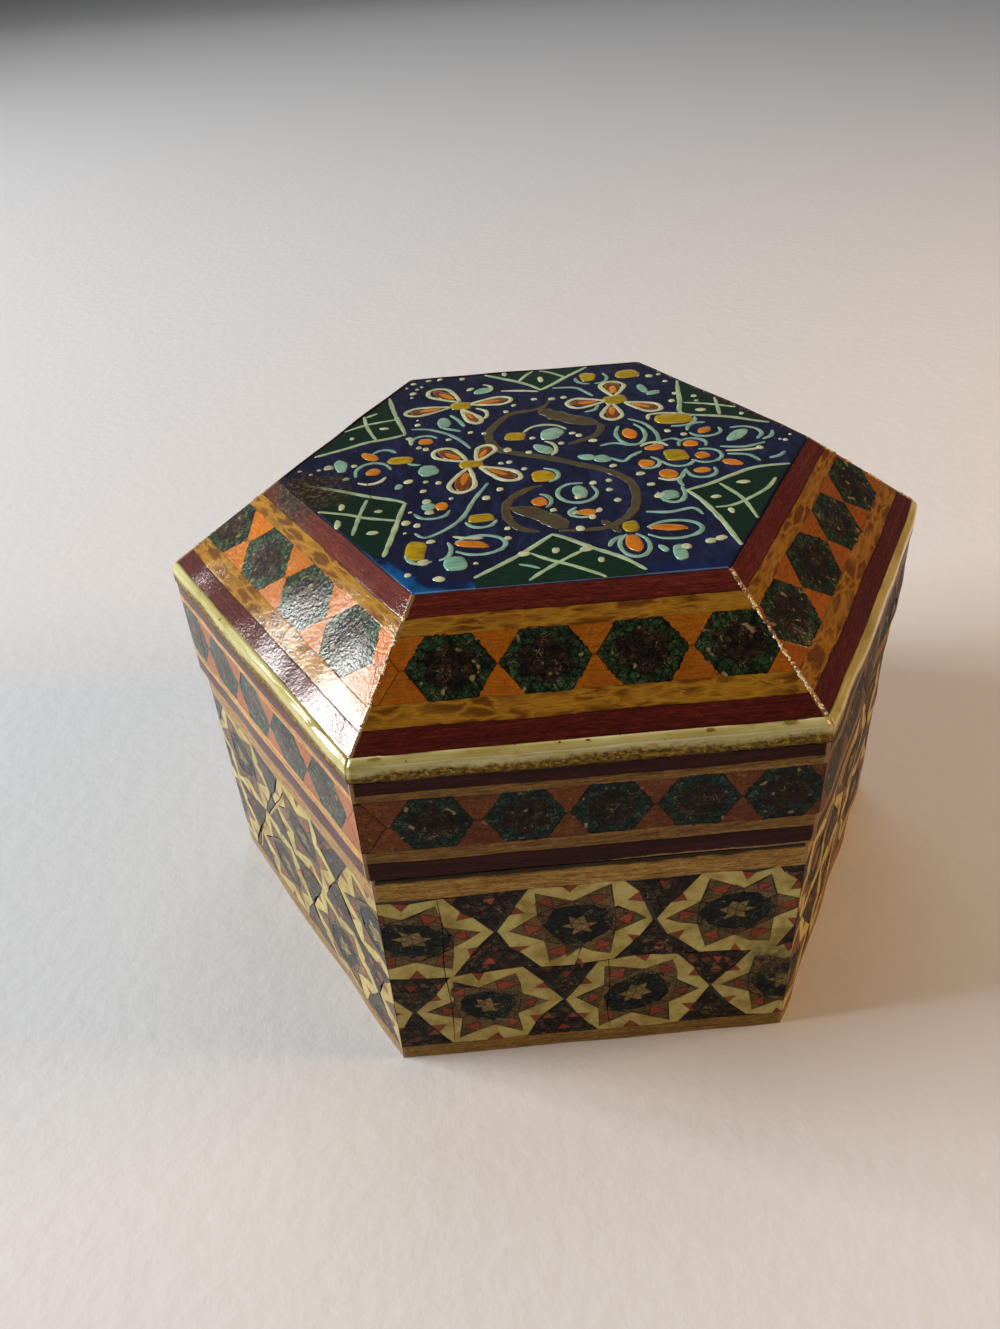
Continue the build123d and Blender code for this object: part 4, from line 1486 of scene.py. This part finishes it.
def bone_spots():
    brush = Brush(Shape(), bevel_fields(0.1, bevel_length)[FRONT].point, random.Random(91))
    for u, width, height, tint in BONE_SPOTS:
        brush.dab((u, BONE_SPOT_HEIGHT), (width, height * 0.6), srgb(*tint), BONE_SPOT_FILM)
    brush.shape.build("bone_spots", enamel, "lid", "bone", smooth=True)


def veneer_cracks():
    """Open cracks, painted dark as the shade inside them, with a raised, paler lip of lacquer beside them,
    and closed joints on the front.
    """
    chance = random.Random(77)
    lips, gaps = Shape(), Shape()
    fields = side_fields(body_face, 0, body_face)
    for points in VENEER_CRACKS:
        place = fields[FRONT_LEFT].point
        lip = [(u + CRACK_LIP_SHIFT[0], v + CRACK_LIP_SHIFT[1]) for u, v in points]
        Brush(lips, place, chance).stroke(lip, **LIP_STROKE)
        # The open gap: a dark stroke of painted shade
        Brush(gaps, place, chance).stroke(points, **CRACK_STROKE)
    for points in VENEER_JOINTS:
        Brush(gaps, fields[FRONT].point, chance).stroke(points, **JOINT_STROKE)
    gaps.build("veneer_gaps", gap_dark, "box", "khatam_mosaic", smooth=True)
    lips.build("veneer_cracks", enamel, "box", "khatam_mosaic", smooth=True)


# Linings

LINING_TRIM = 0.1
LINING_STEPS = 12
LINING_SHARES = (0.9, 0.75, 0.55, 0.3)
LINING_UNEVEN = 0.12


def lining(name, node, body):
    """A cut sheet of velvet with soft edges."""
    low, high = box_mm(node)
    edge = high.y - LINING_TRIM
    inset = edge - 0.25
    profile = [(inset, low.z), (edge, low.z + 0.25), (edge, high.z - 0.3), (inset, high.z - 0.05)]
    profile += [(edge * share, high.z) for share in LINING_SHARES]
    rings = []
    for distance, height in profile:
        ring = []
        for here, there in around(hexagon((0, 0), distance * CORNER_REACH)):
            for part in range(LINING_STEPS):
                x, y = between(here, there, part / LINING_STEPS)
                bump = LINING_UNEVEN * lump(x * 0.1, y * 0.1, len(name)) if height > low.z + 0.5 else 0
                ring.append((Vector((x, y, height + bump - 0.06)) * MM, WHITE, (x, y, 0)))
        rings.append(ring)
    shape = Shape()
    shape.loft(rings)
    piece = shape.build(name, velvet, body, "lining_cloth", node, smooth=True)


# Camera, floor and lights

CAMERA_AZIMUTH = math.radians(-1.46)
CAMERA_ELEVATION = math.radians(36.69)
CAMERA_ROLL = math.radians(-4.05)
CAMERA_DISTANCE = 159.4
CAMERA_OFFSET = (-7.51, -0.37)
CAMERA_AIM = Vector((0, 0, 30))
CAMERA_CLIP = (0.005, 20)
FOCAL_PIXELS = 1097
PHOTO_HEIGHT_PIXELS = 1329
SENSOR = 36
FLOOR_REACH = 6
FLOOR_COLOUR = srgb(235, 235, 236)
ROOM_COLOUR = (0.82, 0.84, 0.86, 1)
ROOM_STRENGTH = 0.065

# Lamps in metres and watts: name, place, height aimed at, size, power and tint
LAMPS = (
    ("sky", (-1.08, 0.06, 0.40), 0.03, (0.45, 0.45), 14.8, (0.96, 0.985, 1)),
    ("window", (-0.86, 0.31, 0.45), 0.05, (0.11, 0.22), 2.1, (1, 0.98, 0.96)),
    ("bounce", (-0.78, 0.55, 0.45), 0.05, (0.5, 0.55), 0.20, (1, 0.97, 0.92)),
    ("key", (0.52, -0.05, 0.28), 0.03, (0.2, 0.2), 1.80, (1, 0.58, 0.25)),
    ("top", (0.05, 0.50, 1.05), 0.03, (0.6, 0.6), 1.70, (0.94, 0.97, 1)),
    ("fill", (0.10, -0.95, 0.12), 0.03, (0.5, 0.3), 1, (0.96, 0.97, 1)),
    ("back", (0.10, 1.15, 0.34), 0.05, (1.2, 0.25), 0.32, (1, 0.98, 0.95)),
)


def make_camera():
    turn = Matrix.Rotation(CAMERA_AZIMUTH, 3, "Z") @ Matrix.Rotation(math.pi / 2 - CAMERA_ELEVATION, 3, "X")
    turn = turn @ Matrix.Rotation(CAMERA_ROLL, 3, "Z")
    place = CAMERA_AIM + turn @ Vector((*CAMERA_OFFSET, CAMERA_DISTANCE))
    camera = add_object("camera", bpy.data.cameras.new("camera"))
    camera.data.sensor_width = SENSOR
    camera.data.lens = FOCAL_PIXELS * SENSOR / PHOTO_HEIGHT_PIXELS
    camera.data.clip_start, camera.data.clip_end = CAMERA_CLIP
    camera.matrix_world = Matrix.Translation(place * MM) @ turn.to_4x4()
    bpy.context.scene.camera = camera


def make_floor():
    mesh = bpy.data.meshes.new("floor")
    corners = [(x * FLOOR_REACH, y * FLOOR_REACH, 0) for x, y in ((-1, -1), (1, -1), (1, 1), (-1, 1))]
    mesh.from_pydata(corners, [], [(0, 1, 2, 3)])
    shader = Shader("pale_table")
    relief = shader.bump(shader.noise(0.35), 0.12)
    mesh.materials.append(shader.finish({"Base Color": FLOOR_COLOUR, "Roughness": 0.55, "Normal": relief}))
    floor = add_object("floor", mesh)
    floor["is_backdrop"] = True


def make_lights():
    for name, place, aim_height, size, watts, tint in LAMPS:
        lamp = bpy.data.lights.new(name, "AREA")
        lamp.shape = "RECTANGLE"
        lamp.size, lamp.size_y = size
        lamp.energy = watts
        lamp.color = tint
        holder = add_object(name, lamp)
        holder.location = place
        holder.rotation_mode = "QUATERNION"
        aim = Vector((0, 0, aim_height)) - Vector(place)
        holder.rotation_quaternion = aim.to_track_quat("-Z", "Y")
    world = bpy.data.worlds.new("room")
    world.use_nodes = True
    background = world.node_tree.nodes["Background"]
    background.inputs["Color"].default_value = ROOM_COLOUR
    background.inputs["Strength"].default_value = ROOM_STRENGTH
    bpy.context.scene.world = world
    bpy.context.scene.view_settings.view_transform = "Standard"


make_camera()
make_floor()
make_lights()
dress_cad_boards()
bevel_strips()
side_strips()
bone_edgings()
body_mosaics()
lid_mosaics()
painted_panel()
paint_ornament()
mitre_flecks_and_glints()
bone_spots()
veneer_cracks()
lining("floor_lining_cloth", "floor_lining", "box")
lining("lid_lining_cloth", "lid_lining", "lid")

boxes = {"cad": cad_box, "visual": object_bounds()}
{name: [list(corner) for corner in corners] for name, corners in boxes.items()}
